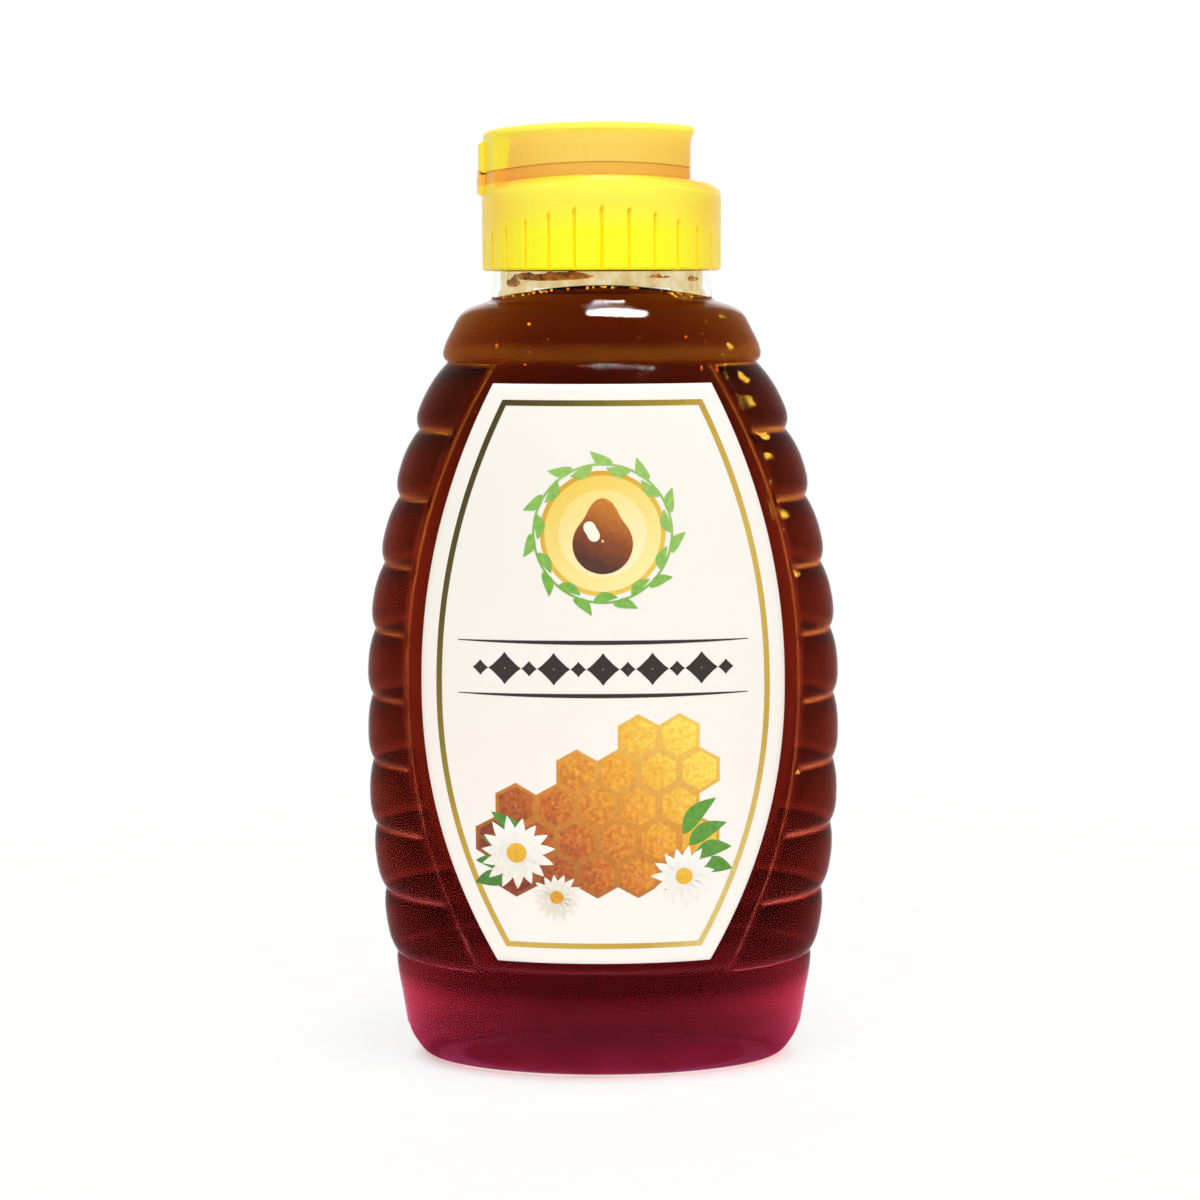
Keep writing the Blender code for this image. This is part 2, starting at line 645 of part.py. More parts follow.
def make_lid(material):
    """The lid turns about the living hinge, so its origin lies there."""
    hinge = (HINGE_X, 0.0, Z_HINGE)
    bm = bmesh.new()
    loft(bm, lid_loops())
    lid = add_object("lid", bm, material, hinge)
    low = Z_HINGE + GAP / 2
    pad = hinge_pad(low, low + PAD_LID_HEIGHT, LID_RADIUS + PAD_PROUD)
    combine(lid, cutter("lid_hinge_pad", pad, material), "UNION")
    bm = bmesh.new()
    angle = lid_angles()
    inner = waist_radius(angle) - LID_WALL
    below = Z_PARTING - CROWN_DROP - OVERRUN
    loft(bm, [level_points(angle, inner, z) for z in (below, Z_LID_CEILING)])
    combine(lid, cutter("lid_inside", bm, material), "DIFFERENCE")
    outer = ORIFICE_RADIUS - PLUG_CLEARANCE
    top = Z_LID_CEILING + LID_TOP / 2
    plug = revolve([
        (outer - PLUG_WALL, Z_PLUG),
        (outer - EDGE_CHAMFER, Z_PLUG),
        (outer, Z_PLUG + EDGE_CHAMFER),
        (outer, top),
        (outer - PLUG_WALL, top),
    ])
    combine(lid, cutter("lid_plug", plug, material), "UNION")


def make_valve(material):
    """A flange held in the pocket, and a thin membrane dished towards the honey."""
    rim = ORIFICE_RADIUS + LIP_WALL
    upper = [(0.0, Z_VALVE_TOP - VALVE_DISH)]
    lower = [(0.0, Z_VALVE_TOP - VALVE_DISH - VALVE_MEMBRANE)]
    for out, up in DISH_SHARES:
        upper.append((rim * out, upper[0][1] + VALVE_DISH * up))
        lower.append((rim * out, lower[0][1] + (Z_VALVE_UNDER - lower[0][1]) * up))
    flange = [(PART_RADIUS, Z_VALVE_UNDER), (PART_RADIUS, Z_VALVE_TOP)]
    add_object("silicone_valve", revolve(lower + flange + upper[::-1]), material)


def make_ring(name, inner, outer, low, height, material):
    bm = revolve([
        (inner, low),
        (outer, low),
        (outer, low + height),
        (inner, low + height),
    ])
    add_object(name, bm, material)


clear_scene()
clear_plastic = plastic("clear_squeeze_plastic", (0.92, 0.94, 0.90), 0.08, alpha=0.35)
honey_fill = plastic("honey", (0.32, 0.075, 0.008), 0.05, alpha=0.92)
label_film = plastic("printed_label_film", (0.93, 0.87, 0.74), 0.35)
yellow_base = plastic("yellow_moulded_plastic", (0.98, 0.62, 0.03), 0.32)
yellow_lid = plastic("yellow_moulded_lid_plastic", (0.98, 0.64, 0.03), 0.32)
silicone = plastic("translucent_silicone", (0.80, 0.80, 0.78), 0.45, alpha=0.85)
retainer_plastic = plastic("natural_plastic", (0.86, 0.86, 0.82), 0.40)
liner_foam = plastic("white_liner_foam", (0.90, 0.90, 0.88), 0.70)

make_bottle(clear_plastic)
make_honey(honey_fill)
make_label(label_film)
make_ring("seal_ring", SEAL_HOLE, SEAL_RADIUS, Z_SEAL, SEAL_THICKNESS, liner_foam)
make_closure_base(yellow_base)
make_lid(yellow_lid)
make_valve(silicone)
retainer_bore = PART_RADIUS - RETAINER_WIDTH
make_ring("valve_retainer", retainer_bore, PART_RADIUS, Z_SHELF, RETAINER_HEIGHT, retainer_plastic)
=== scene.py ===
"""Dresses the honey squeeze bottle: clear body, honey, printed label and yellow closure."""

import math

import bpy
import numpy as np
from mathutils import Matrix, Vector


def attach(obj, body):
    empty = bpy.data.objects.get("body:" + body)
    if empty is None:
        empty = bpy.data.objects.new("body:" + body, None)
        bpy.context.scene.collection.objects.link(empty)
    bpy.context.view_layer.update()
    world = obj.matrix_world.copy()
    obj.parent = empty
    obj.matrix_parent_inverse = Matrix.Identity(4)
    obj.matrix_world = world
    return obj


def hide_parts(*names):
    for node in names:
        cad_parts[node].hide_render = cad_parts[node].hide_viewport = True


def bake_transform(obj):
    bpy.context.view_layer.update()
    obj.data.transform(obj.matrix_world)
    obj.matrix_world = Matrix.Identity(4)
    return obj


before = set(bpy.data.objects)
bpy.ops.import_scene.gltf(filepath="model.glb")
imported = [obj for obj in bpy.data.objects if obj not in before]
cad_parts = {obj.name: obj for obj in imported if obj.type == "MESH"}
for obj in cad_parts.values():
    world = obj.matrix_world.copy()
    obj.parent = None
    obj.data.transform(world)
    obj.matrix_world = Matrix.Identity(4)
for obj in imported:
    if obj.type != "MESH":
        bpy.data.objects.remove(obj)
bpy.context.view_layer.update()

MM = 0.001

# Sizes in millimetres
PITCH = 12.11
GROOVE_Z = 20.1 + PITCH * np.arange(10)
GROOVE_A = 43.13 * np.array([0.891, 0.938, 0.974, 0.983, 0.983, 0.967, 0.924, 0.857, 0.771, 0.648])
GROOVE_B = 24.99 * np.array([0.870, 0.905, 0.935, 0.958, 0.972, 0.980, 0.980, 0.972, 0.950, 0.905])
RING_SWELL = 1.6 * np.array([0.62, 0.60, 0.58, 0.56, 0.62, 0.68, 0.72, 0.84, 1.0])
PANEL_LOW, PANEL_HIGH = GROOVE_Z[0], GROOVE_Z[-1]
PANEL_REACH, WIDEST_SHARE = (PANEL_HIGH - PANEL_LOW) / 2, 0.475
PANEL_CORNER, PANEL_BULGE, PANEL_POWER = 20.8, 14.6, 2.15
LABEL_LOW, LABEL_HIGH = PANEL_LOW + 3.2, PANEL_HIGH - 3.2
HONEY_TOP, HONEY_MIDDLE = 137.0, 141.2
WALL, WET_WALL = 0.8, 0.03
FINISH_R, COLLAR_BORE_R, THREAD_PITCH = 18.4, 18.6, 4.23
SKIRT_R, BORE_R, CROWN = 21.5, 20.2, 1.3
# Half width and half depth of the shadow that the foot casts on the paper
SHADOW_A, SHADOW_B = 34.5, 17.8


def to_linear(code):
    """sRGB hex to linear red, green, blue and a full alpha."""
    parts = [int(code[i : i + 2], 16) / 255 for i in (0, 2, 4)]
    return [c / 12.92 if c <= 0.04045 else ((c + 0.055) / 1.055) ** 2.4 for c in parts] + [1.0]


def add_node(tree, kind, sockets=None, settings=None, stops=None, into=None):
    """Adds a node. sockets gives each input a plain value, a node whose first output feeds it, or a
    (node, output). settings are the node's properties, or its operation alone, stops a colour ramp's
    (position, sRGB hex), and into is the (node, socket) that it feeds in turn, with its output last
    where that isn't the first."""
    node = tree.nodes.new("ShaderNode" + kind)
    if isinstance(settings, str):
        settings = {"operation": settings}
    for name, value in (settings or {}).items():
        setattr(node, name, value)
    for name, value in (sockets or {}).items():
        source = value if isinstance(value, tuple) else (value, 0)
        if isinstance(source[0], bpy.types.Node):
            tree.links.new(source[0].outputs[source[1]], node.inputs[name])
        else:
            node.inputs[name].default_value = value
    if stops:
        band = node.color_ramp
        while len(band.elements) < len(stops):
            band.elements.new(0.5)
        for element, (position, code) in zip(band.elements, stops):
            element.position = position
            element.color = to_linear(code)
    if into:
        target, socket, output = (*into, 0)[:3]
        tree.links.new(node.outputs[output], target.inputs[socket])
    return node


TINTED = {"data_type": "RGBA", "blend_type": "MULTIPLY"}
EASED = {"interpolation_type": "SMOOTHSTEP"}


def new_material(name, sockets):
    """A material with its tree, its Principled shader, whose plain sockets are set, and a node that
    gives the object's own coordinates, which are metres in the shared frame."""
    material = bpy.data.materials.new(name)
    material.use_nodes = True
    tree = material.node_tree
    shader = tree.nodes["Principled BSDF"]
    for socket, value in sockets.items():
        shader.inputs[socket].default_value = value
    return material, tree, shader, (add_node(tree, "TexCoord"), "Object")


def clouded_material(name, sockets, size_mm, detail, stops, bump=None, grain_mm=None):
    """A material whose colour drifts between two shades with noise of a size in millimetres. bump
    gives the strength and the depth in millimetres at which the same noise waves the surface, or
    a finer one where grain_mm gives its size."""
    material, tree, shader, place = new_material(name, sockets)
    cloud = add_node(tree, "TexNoise", {"Scale": 1 / (size_mm * MM), "Detail": detail, "Vector": place})
    add_node(tree, "ValToRGB", {"Fac": cloud}, stops=stops, into=(shader, "Base Color"))
    if grain_mm:
        cloud = add_node(tree, "TexNoise", {"Scale": 1 / (grain_mm * MM), "Detail": 2.0, "Vector": place})
    if bump:
        strength, depth = bump
        add_node(
            tree, "Bump", {"Strength": strength, "Distance": depth * MM, "Height": cloud},
            into=(shader, "Normal"),
        )
    return material


# Surfaces


def smooth_curve(points, steps):
    """Catmull-Rom curve through the given points, with the same number of steps on each span."""
    p = np.asarray(points, float)
    p = np.vstack([2 * p[0] - p[1], p, 2 * p[-1] - p[-2]])
    t = np.linspace(0, 1, steps, endpoint=False)[None, :, None]
    a, b, c, d = (p[i : len(p) - 3 + i][:, None, :] for i in range(4))
    body = 0.5 * (2 * b + (c - a) * t + (2 * a - 5 * b + 4 * c - d) * t**2 + (3 * b - a - 3 * c + d) * t**3)
    return np.vstack([body.reshape(-1, p.shape[1]), p[-2]])


def through(z, knots, values):
    """Smooth reading of a table: Hermite spans whose slopes are the mean of their neighbours'."""
    z = np.clip(z, knots[0], knots[-1])
    slopes = np.gradient(values, knots)
    i = np.clip(np.searchsorted(knots, z, side="right") - 1, 0, len(knots) - 2)
    h = knots[i + 1] - knots[i]
    t = (z - knots[i]) / h
    return (
        (2 * t**3 - 3 * t**2 + 1) * values[i] + (t**3 - 2 * t**2 + t) * h * slopes[i]
        + (3 * t**2 - 2 * t**3) * values[i + 1] + (t**3 - t**2) * h * slopes[i + 1]
    )


def smooth_step(value, start, end):
    """Rises from 0 to 1 between start and end, level at both: 3 t squared less 2 t cubed."""
    share = np.clip((value - start) / (end - start), 0.0, 1.0)
    return share * share * (3 - 2 * share)


def make_mesh(name, points, faces, material, smooth=True, slots=None):
    """Points in millimetres and a list of face index arrays become an object at the origin. Where
    material is a list, slots names one of them for each of the arrays."""
    mesh = bpy.data.meshes.new(name)
    faces = [np.asarray(f, np.int32) for f in faces]
    corners = np.concatenate([f.ravel() for f in faces])
    totals = np.concatenate([np.full(len(f), f.shape[1]) for f in faces]).astype(np.int32)
    starts = np.concatenate([[0], np.cumsum(totals)[:-1]]).astype(np.int32)
    mesh.vertices.add(len(points))
    mesh.vertices.foreach_set("co", (np.asarray(points) * MM).astype(np.float32).ravel())
    mesh.loops.add(len(corners))
    mesh.loops.foreach_set("vertex_index", corners)
    mesh.polygons.add(len(totals))
    mesh.polygons.foreach_set("loop_start", starts)
    mesh.polygons.foreach_set("loop_total", totals)
    for each in material if slots else [material]:
        mesh.materials.append(each)
    if slots:
        indices = np.repeat(slots, [len(f) for f in faces]).astype(np.int32)
        mesh.polygons.foreach_set("material_index", indices)
    mesh.update(calc_edges=True)
    mesh.validate()
    if smooth:
        mesh.shade_smooth()
    piece = bpy.data.objects.new(name, mesh)
    bpy.context.scene.collection.objects.link(piece)
    return piece


def grid_faces(rows, columns, wrap=True, start=0):
    """Quads of a grid of rows by columns, closed along its rows if wrap."""
    i = np.arange(rows - 1)[:, None]
    j = np.arange(columns if wrap else columns - 1)[None, :]
    k = (j + 1) % columns
    return start + np.stack(
        [i * columns + j, i * columns + k, (i + 1) * columns + k, (i + 1) * columns + j], -1
    ).reshape(-1, 4)


def sheet_faces(rows, columns, first=0):
    """Faces of a thin closed sheet: a front grid, the back grid that follows it, and their edge."""
    size = rows * columns
    border = first + np.concatenate([
        np.arange(columns), np.arange(1, rows) * columns + columns - 1,
        (rows - 1) * columns + np.arange(columns - 2, -1, -1), np.arange(rows - 2, 0, -1) * columns,
    ])
    after = np.roll(border, -1)
    return [
        grid_faces(rows, columns, False, first), grid_faces(rows, columns, False, first + size)[:, ::-1],
        np.stack([after, border, border + size, after + size], -1),
    ]


def on_circle(radius, turn, z):
    """Points at a radius, a turn from the front and a height."""
    return np.stack(np.broadcast_arrays(radius * np.sin(turn), -radius * np.cos(turn), z), -1)


def bulged_half_width(z, low, high, corner, bulge, power):
    """Half width of a panel between two heights: corner plus bulge a little under its middle, less
    bulge times a power of the share of the way from there to its corners."""
    widest = low + WIDEST_SHARE * (high - low)
    reach = np.where(z < widest, widest - low, high - widest)
    share = np.minimum(np.abs(z - widest) / reach, 1.0)
    return corner + bulge * (1 - share**power)


def panel_half_width(z):
    """Half width of the smooth panel on the front and on the back."""
    return bulged_half_width(z, PANEL_LOW, PANEL_HIGH, PANEL_CORNER, PANEL_BULGE, PANEL_POWER)


def ring_swell(z):
    """Swell of the rings: full over most of each, rising fast from its groove and falling slower."""
    share = np.clip((z - PANEL_LOW) / PITCH, 0, 8.9999)
    ring = share.astype(int)
    t = share - ring
    crest = 0.40
    rise = 1 - np.clip(1 - t / crest, 0, 1) ** 2.7
    fall = 1 - np.clip((t - crest) / (1 - crest), 0, 1) ** 2.5
    return RING_SWELL[ring] * np.where(t < crest, rise, fall)


def crest_swell(z):
    """Envelope over the crests of the rings."""
    return np.interp(z, GROOVE_Z[:-1] + PITCH / 2, RING_SWELL)


FOOT_A, FOOT_B = 33.0, 16.25
ROW_STEPS = 5
# Underside as shares of the foot, then the heel and base as distances drawn in from the lowest groove
UNDER_ROWS = [
    (0.20, 0.42), (0.38, 0.34), (0.50, 0.22), (0.60, 0.11), (0.70, 0.03), (0.80, 0.0), (0.94, 0.0),
]
BASE_ROWS = [
    (5.5, 0.06), (4.6, 0.4), (3.9, 1.2), (3.0, 2.6), (2.0, 4.6), (1.6, 6.6), (1.2, 9.2), (0.75, 12.2),
    (0.17, 15.5), (-0.1, 17.6), (-0.17, 19.2), (0.0, 20.1),
]
INNER_UNDER_ROWS = [
    (0.20, 0.87), (0.38, 0.79), (0.50, 0.67), (0.60, 0.56), (0.70, 0.48), (0.80, 0.45), (0.92, 0.45),
]
INNER_BASE_ROWS = [
    (6.1, 0.5), (5.1, 0.9), (4.3, 1.6), (3.3, 3.0), (2.2, 5.0), (1.4, 8.6), (0.8, 12.2),
    (0.2, 15.5), (-0.08, 17.6), (-0.16, 19.2), (0.0, 20.1),
]
# Rows of faces up to 6.6 mm, where the outer skin's underside is seen through the honey
UNDER_STEPS = ROW_STEPS * (len(UNDER_ROWS) + 5)


def base_curve(under, side):
    """Smooth curve of half width, half depth and height from the middle of the underside to the
    lowest groove: an ellipse shrunk in proportion below, and drawn in equally all round above."""
    under, side = np.array(under), np.array(side)
    return smooth_curve(np.vstack([
        np.column_stack([under[:, 0] * FOOT_A, under[:, 0] * FOOT_B, under[:, 1]]),
        np.column_stack([GROOVE_A[0] - side[:, 0], GROOVE_B[0] - side[:, 0], side[:, 1]]),
    ]), ROW_STEPS)


SHOULDER_CURVE = smooth_curve(
    [(28.00, 22.62, 129.09), (28.62, 22.95, 129.8), (28.78, 22.95, 130.8), (28.45, 22.75, 132.1),
     (27.85, 22.45, 133.5), (27.05, 22.15, 135.0), (26.35, 21.90, 136.4), (25.55, 21.60, 137.6),
     (24.20, 21.10, 138.6), (22.20, 20.50, 139.4), (20.60, 20.05, 139.9), (19.95, 19.92, 140.5),
     (19.9, 19.9, 141.5)], 6,
)


def body_rows(inner):
    """Columns z, half width, half depth and swell for each row of the body, from foot to neck."""
    tables = (INNER_UNDER_ROWS, INNER_BASE_ROWS) if inner else (UNDER_ROWS, BASE_ROWS)
    base = base_curve(*tables)[:-1]
    rows = [np.column_stack([np.maximum(base[:, 2], 0.0), base[:, :2], np.zeros(len(base))])]
    t = np.linspace(0, 1, 19, endpoint=False)
    # Rows gather at the grooves, where the wall turns fastest
    t = t - 0.512 * np.sin(2 * math.pi * t) / (2 * math.pi)
    z = (GROOVE_Z[:-1, None] + PITCH * np.clip(t, 0, 1)[None, :]).ravel()
    rows.append(np.column_stack([
        z, through(z, GROOVE_Z, GROOVE_A), through(z, GROOVE_Z, GROOVE_B), ring_swell(z),
    ]))
    top = SHOULDER_CURVE
    rows.append(np.column_stack([top[:, 2], top[:, :2], np.zeros(len(top))]))
    return np.vstack(rows)


def wall_inset(z):
    """How far the wall's inner face is drawn in. Where honey wets it, light meets no inner face, so
    there it lies close behind the outer one, and only the neck shows the wall's real thickness."""
    return WET_WALL + (WALL - WET_WALL) * smooth_step(z, 138.5, 140.7)


def body_grid(rows, inset):
    """Body surface: an ellipse at each height, swelled by the rings at the sides and by the panel
    between them. Columns gather at the panel's border, which stands up as a thin raised line. It
    steps down to the rings sharply in front and more softly behind."""
    z, a, b, swell = rows.T
    inset = np.broadcast_to(inset, z.shape)[:, None]
    n_panel, n_border, n_side = 11, 8, 12
    crest = np.where((z > PANEL_LOW) & (z < PANEL_HIGH), crest_swell(z), 0.0)
    edge = np.arcsin(np.clip(panel_half_width(np.clip(z, PANEL_LOW, PANEL_HIGH)) / (a + crest), 0, 0.93))
    speed = np.hypot((a + crest) * np.cos(edge), (b + crest) * np.sin(edge))
    reach = np.minimum(2.2 / speed, 0.3 * (math.pi / 2 - edge))
    u = np.linspace(0, 1, n_panel, endpoint=False)
    v = np.linspace(-1, 1, n_border, endpoint=False)
    w = np.linspace(0, 1, n_side)
    quarter = np.concatenate([
        (edge - reach)[:, None] * u, edge[:, None] + reach[:, None] * v,
        (edge + reach)[:, None] + (math.pi / 2 - edge - reach)[:, None] * w,
    ], 1)
    side = (edge[:, None] - quarter) * speed[:, None]
    level = np.minimum(z - PANEL_LOW, PANEL_HIGH - z)[:, None]
    inside = np.minimum(side, level)
    ridge = 0.33 * np.exp(-(((inside - 0.55) / 0.42) ** 2))
    halves = []
    for low, high in ((0.0, 0.5), (-1.0, 5.5)):
        weight = smooth_step(inside, low, high)
        halves.append(swell[:, None] * (1 - weight) + crest[:, None] * weight + ridge)
    front, back = halves
    total = np.concatenate([front, back[:, -2::-1], back[:, 1:], front[:, -2:0:-1]], 1)
    turn = np.concatenate([quarter, math.pi - quarter[:, -2::-1]], 1)
    turn = np.concatenate([turn, turn[:, 1:-1] + math.pi], 1)
    x = (a[:, None] - inset + total) * np.sin(turn)
    y = -(b[:, None] - inset + total) * np.cos(turn)
    return np.stack([x, y, np.broadcast_to(z[:, None], x.shape)], -1), turn


def neck_grid(turn, inner):
    """Neck above the shoulder: collar, step and threaded finish outside, or bore and mouth inside.
    The thread is a ridge on the radius wherever the height, counted in pitches, less the share of a
    turn is near a whole number. It fades out at both ends."""
    if inner:
        profile = smooth_curve(
            [(COLLAR_BORE_R, 142.3), (COLLAR_BORE_R, 144.9), (18.45, 145.8), (17.0, 147.5), (16.5, 148.5),
             (16.4, 149.9), (16.4, 153.9), (16.4, 156.8), (16.55, 157.2)], 3)
        return on_circle(profile[:, :1], turn, profile[:, 1:])
    low = np.array([
        (19.9, 142.9), (19.9, 145.3), (19.87, 146.0), (19.6, 146.4), (19.1, 146.65), (18.6, 146.9),
    ])
    z = np.concatenate([low[:, 1], np.arange(147.2, 156.9, 0.22), [157.0, 157.2, 157.29]])[:, None]
    r = np.concatenate([low[:, 0], np.full(len(z) - len(low) - 2, FINISH_R), [18.25, 17.9]])[:, None]
    round_share = (turn / (2 * math.pi)) % 1.0
    climb = (z - 148.3) / THREAD_PITCH - round_share
    near = np.abs(climb - np.round(climb)) * THREAD_PITCH
    turns = np.round(climb) + round_share
    present = smooth_step(turns, 0.02, 0.10) * (1 - smooth_step(turns, 1.38, 1.46))
    return on_circle(r + 1.15 * (1 - smooth_step(near, 0.35, 1.05)) * present, turn, z)


def closed_stack(grids, low, high):
    """Joins grids of equal columns end to end, with a fan of triangles to a middle point at each end."""
    grid = np.concatenate(grids, 0)
    rows, columns = grid.shape[:2]
    count = rows * columns
    ring = np.arange(columns)
    after, centre, last = np.roll(ring, -1), np.full_like(ring, count), count - columns
    return np.vstack([grid.reshape(-1, 3), low, high]), [
        grid_faces(rows, columns), np.stack([after, ring, centre], -1),
        np.stack([centre + 1, last + ring, last + after], -1),
    ]


def clear_bottle_plastic():
    """Clear PET, blow moulded in a polished mould: glossy and colourless. Its skin is a little wavy,
    by some hundredths of a millimetre over 5 mm, and handling leaves broad patches less sharp. Its
    refraction is set far under PET's 1.57, since a body of curved rings full of honey would else act
    as one strong lens with black edges. A thin coat gives back the gloss."""
    material, tree, shader, place = new_material(
        "blow_moulded_clear_pet",
        {"Base Color": to_linear("F8FBF4"), "IOR": 1.05, "Transmission Weight": 1.0,
         "Coat Weight": 0.06, "Coat Roughness": 0.0},
    )
    wave = add_node(tree, "TexNoise", {"Scale": 1 / (5.0 * MM), "Detail": 2.0, "Vector": place})
    add_node(
        tree, "Bump", {"Strength": 0.5, "Distance": 0.03 * MM, "Height": wave}, into=(shader, "Normal"),
    )
    smear = add_node(tree, "TexNoise", {"Scale": 1 / (22.0 * MM), "Detail": 3.0, "Vector": place})
    add_node(
        tree, "MapRange",
        {"From Min": 0.35, "From Max": 0.75, "To Min": 0.0, "To Max": 0.01, "Value": smear},
        into=(shader, "Roughness"),
    )
    return material


def filmed_neck_face():
    """Inner face of the empty neck: honey that ran back down left a thin warm film, uneven over
    3 mm, which turns the clear wall beige."""
    return clouded_material(
        "honey_filmed_pet", {"Roughness": 0.05, "IOR": 1.07, "Transmission Weight": 1.0},
        3.0, 3.0, [(0.38, "DABA7C"), (0.62, "F0DEB8")], (0.4, 0.05),
    )


def honey_filling():
    """Clear dark honey. Light that crosses its whole depth turns dark red and a thin edge stays amber, as
    its absorption gives. Its colour also carries painted light and shade: it is painted brighter and redder
    towards the foot, with a painted dark band under the lowest ring, golden painted light at the shoulder
    and a darker middle than sides. The wall's bends are painted into it too: painted shade on each ring,
    darkest just under the groove over it, and thin painted highlight lines along the grooves and the
    panel's border."""
    material, tree, shader, place = new_material(
        "clear_dark_honey", {"Roughness": 0.0, "IOR": 1.0, "Transmission Weight": 1.0},
    )
    split = add_node(tree, "SeparateXYZ", {"Vector": place})
    height = add_node(tree, "MapRange", {"From Max": HONEY_TOP * MM, "Value": (split, "Z")})
    # Painted light and shade up the height: a brighter, redder foot, a painted dark band from 17 to 21 mm,
    # a darker band near 127 mm and golden painted light towards the shoulder
    colour_with_painted_light = add_node(
        tree, "ValToRGB", {"Fac": height},
        stops=[
            (0.0, "BC4474"), (0.022, "BC4878"), (0.05, "F45890"), (0.097, "FF5C90"), (0.126, "812A3C"),
            (0.150, "87313C"), (0.185, "CB5555"), (0.32, "CB5E3A"), (0.709, "CB632B"), (0.93, "AE601E"),
            (0.973, "CB891F"), (1.0, "D1A019"),
        ],
    )
    aside = add_node(tree, "Math", {0: (split, "X")}, "ABSOLUTE")
    # Painted shade: the middle, within 24 mm of the axis and fading out by 38 mm, is toned darker and less
    # red than the sides
    middle = add_node(tree, "MapRange", {"From Min": 38 * MM, "From Max": 24 * MM, "Value": aside}, EASED)
    middle_shaded = add_node(tree, "Mix", {0: middle, 6: colour_with_painted_light, 7: to_linear("E8F0F0")}, TINTED)
    # Ring phase: height over the lowest groove in pitches, less its whole part
    turns = add_node(
        tree, "MapRange",
        {"From Min": PANEL_LOW * MM, "From Max": (PANEL_LOW + PITCH) * MM, "Value": (split, "Z")},
        {"clamp": False},
    )
    phase = add_node(tree, "Math", {0: turns}, "FRACT")
    # Painted shade on each ring, darkest just under the groove over it, none at the groove itself
    painted_ring_shade = add_node(
        tree, "ValToRGB", {"Fac": phase},
        stops=[
            (0.0, "FFFFFF"), (0.08, "A88C84"), (0.5, "C0A494"), (0.75, "90746C"), (0.93, "5C443C"),
            (1.0, "FFFFFF"),
        ],
    )
    # The panel's border is where the distance from the middle, plus what the panel has lost of its
    # bulge at that height, comes to the panel's largest half width
    edge = PANEL_CORNER + PANEL_BULGE
    border = split, "Z"
    for operation, value in (
        ("SUBTRACT", (PANEL_LOW + 2 * WIDEST_SHARE * PANEL_REACH) * MM), ("ABSOLUTE", 0.0),
        ("DIVIDE", PANEL_REACH * MM), ("POWER", PANEL_POWER),
    ):
        border = add_node(tree, "Math", {0: border, 1: value}, operation)
    border = add_node(tree, "Math", {0: border, 1: PANEL_BULGE * MM, 2: aside}, "MULTIPLY_ADD")
    outside = add_node(
        tree, "MapRange", {"From Min": (edge - 0.2) * MM, "From Max": (edge + 1.4) * MM, "Value": border},
        EASED,
    )
    ringed = add_node(
        tree, "Math", {0: (split, "Z"), 1: (PANEL_LOW + PANEL_REACH) * MM, 2: PANEL_REACH * MM}, "COMPARE",
    )
    on_rings = add_node(tree, "Math", {0: outside, 1: ringed}, "MULTIPLY")
    ring_shaded = add_node(tree, "Mix", {0: on_rings, 6: (middle_shaded, 2), 7: painted_ring_shade}, TINTED)
    # Painted highlight lines along the grooves
    groove = add_node(
        tree, "ValToRGB", {"Fac": phase},
        stops=[(0.0, "C8C8C8"), (0.06, "808080"), (0.12, "000000"), (0.95, "000000"), (1.0, "C8C8C8")],
    )
    groove = add_node(tree, "Math", {0: on_rings, 1: groove}, "MULTIPLY")
    # The border's painted highlight line is 0.6 mm wide and lies just inside the rings
    along = add_node(
        tree, "MapRange", {"From Min": (edge - 1.4) * MM, "From Max": (edge + 0.6) * MM, "Value": border},
    )
    ridge = add_node(
        tree, "ValToRGB", {"Fac": along},
        stops=[(0.25, "000000"), (0.4, "909090"), (0.55, "606060"), (0.7, "000000")],
    )
    ridge = add_node(tree, "Math", {0: ringed, 1: ridge}, "MULTIPLY")
    # Painted highlights: a thin pale line 21.5 mm up, under the panel, and a golden band over the top
    # groove
    band = add_node(
        tree, "ValToRGB", {"Fac": height},
        stops=[
            (0.152, "000000"), (0.157, "787878"), (0.162, "000000"), (0.941, "000000"), (0.951, "646464"),
            (0.961, "505050"), (0.972, "000000"),
        ],
    )
    line = add_node(tree, "Math", {0: ridge, 1: groove}, "MAXIMUM")
    line = add_node(tree, "Math", {0: band, 1: line}, "MAXIMUM")
    # The painted highlight lines scatter a share of the light back, so they show in front of any depth of
    # honey, and a faint share also scatters low in the foot, up to about 18 mm
    foot_scatter = add_node(
        tree, "ValToRGB", {"Fac": height},
        stops=[(0.01, "000000"), (0.04, "2A2A2A"), (0.11, "2A2A2A"), (0.13, "000000")],
    )
    scatter_share = add_node(tree, "Math", {0: line, 1: foot_scatter}, "MAXIMUM")
    add_node(
        tree, "Math", {0: scatter_share, 1: -0.2, 2: 1.0}, "MULTIPLY_ADD", into=(shader, "Transmission Weight"),
    )
    # Colours of the painted highlight lines, pink low down and gold towards the shoulder
    pale = add_node(
        tree, "ValToRGB", {"Fac": height},
        stops=[(0.15, "E05870"), (0.47, "E07C44"), (0.85, "F0A038"), (0.95, "FFA818")],
    )
    add_node(
        tree, "Mix", {0: line, 6: (ring_shaded, 2), 7: pale}, {"data_type": "RGBA"},
        into=(shader, "Base Color", 2),
    )
    add_node(
        tree, "VolumeAbsorption", {"Color": to_linear("CB7F85"), "Density": 100.0},
        into=(tree.nodes["Material Output"], "Volume"),
    )
    return material


def wetted_inner_face():
    """Inner face of the wall where honey lies against it: the two bend light alike, so the face
    itself doesn't show. A hint of cloud stands for the skin of honey that clings to it."""
    return clouded_material(
        "honey_wetted_pet", {"Roughness": 0.0, "IOR": 1.0, "Transmission Weight": 1.0},
        12.0, 2.0, [(0.3, "F4ECE0"), (0.7, "FFFFFF")],
    )


def honey_rim(turn):
    """Height of the honey at the wall: highest at the front and the back, lowest at the sides."""
    return 140.6 + 2.1 * np.cos(turn) ** 2


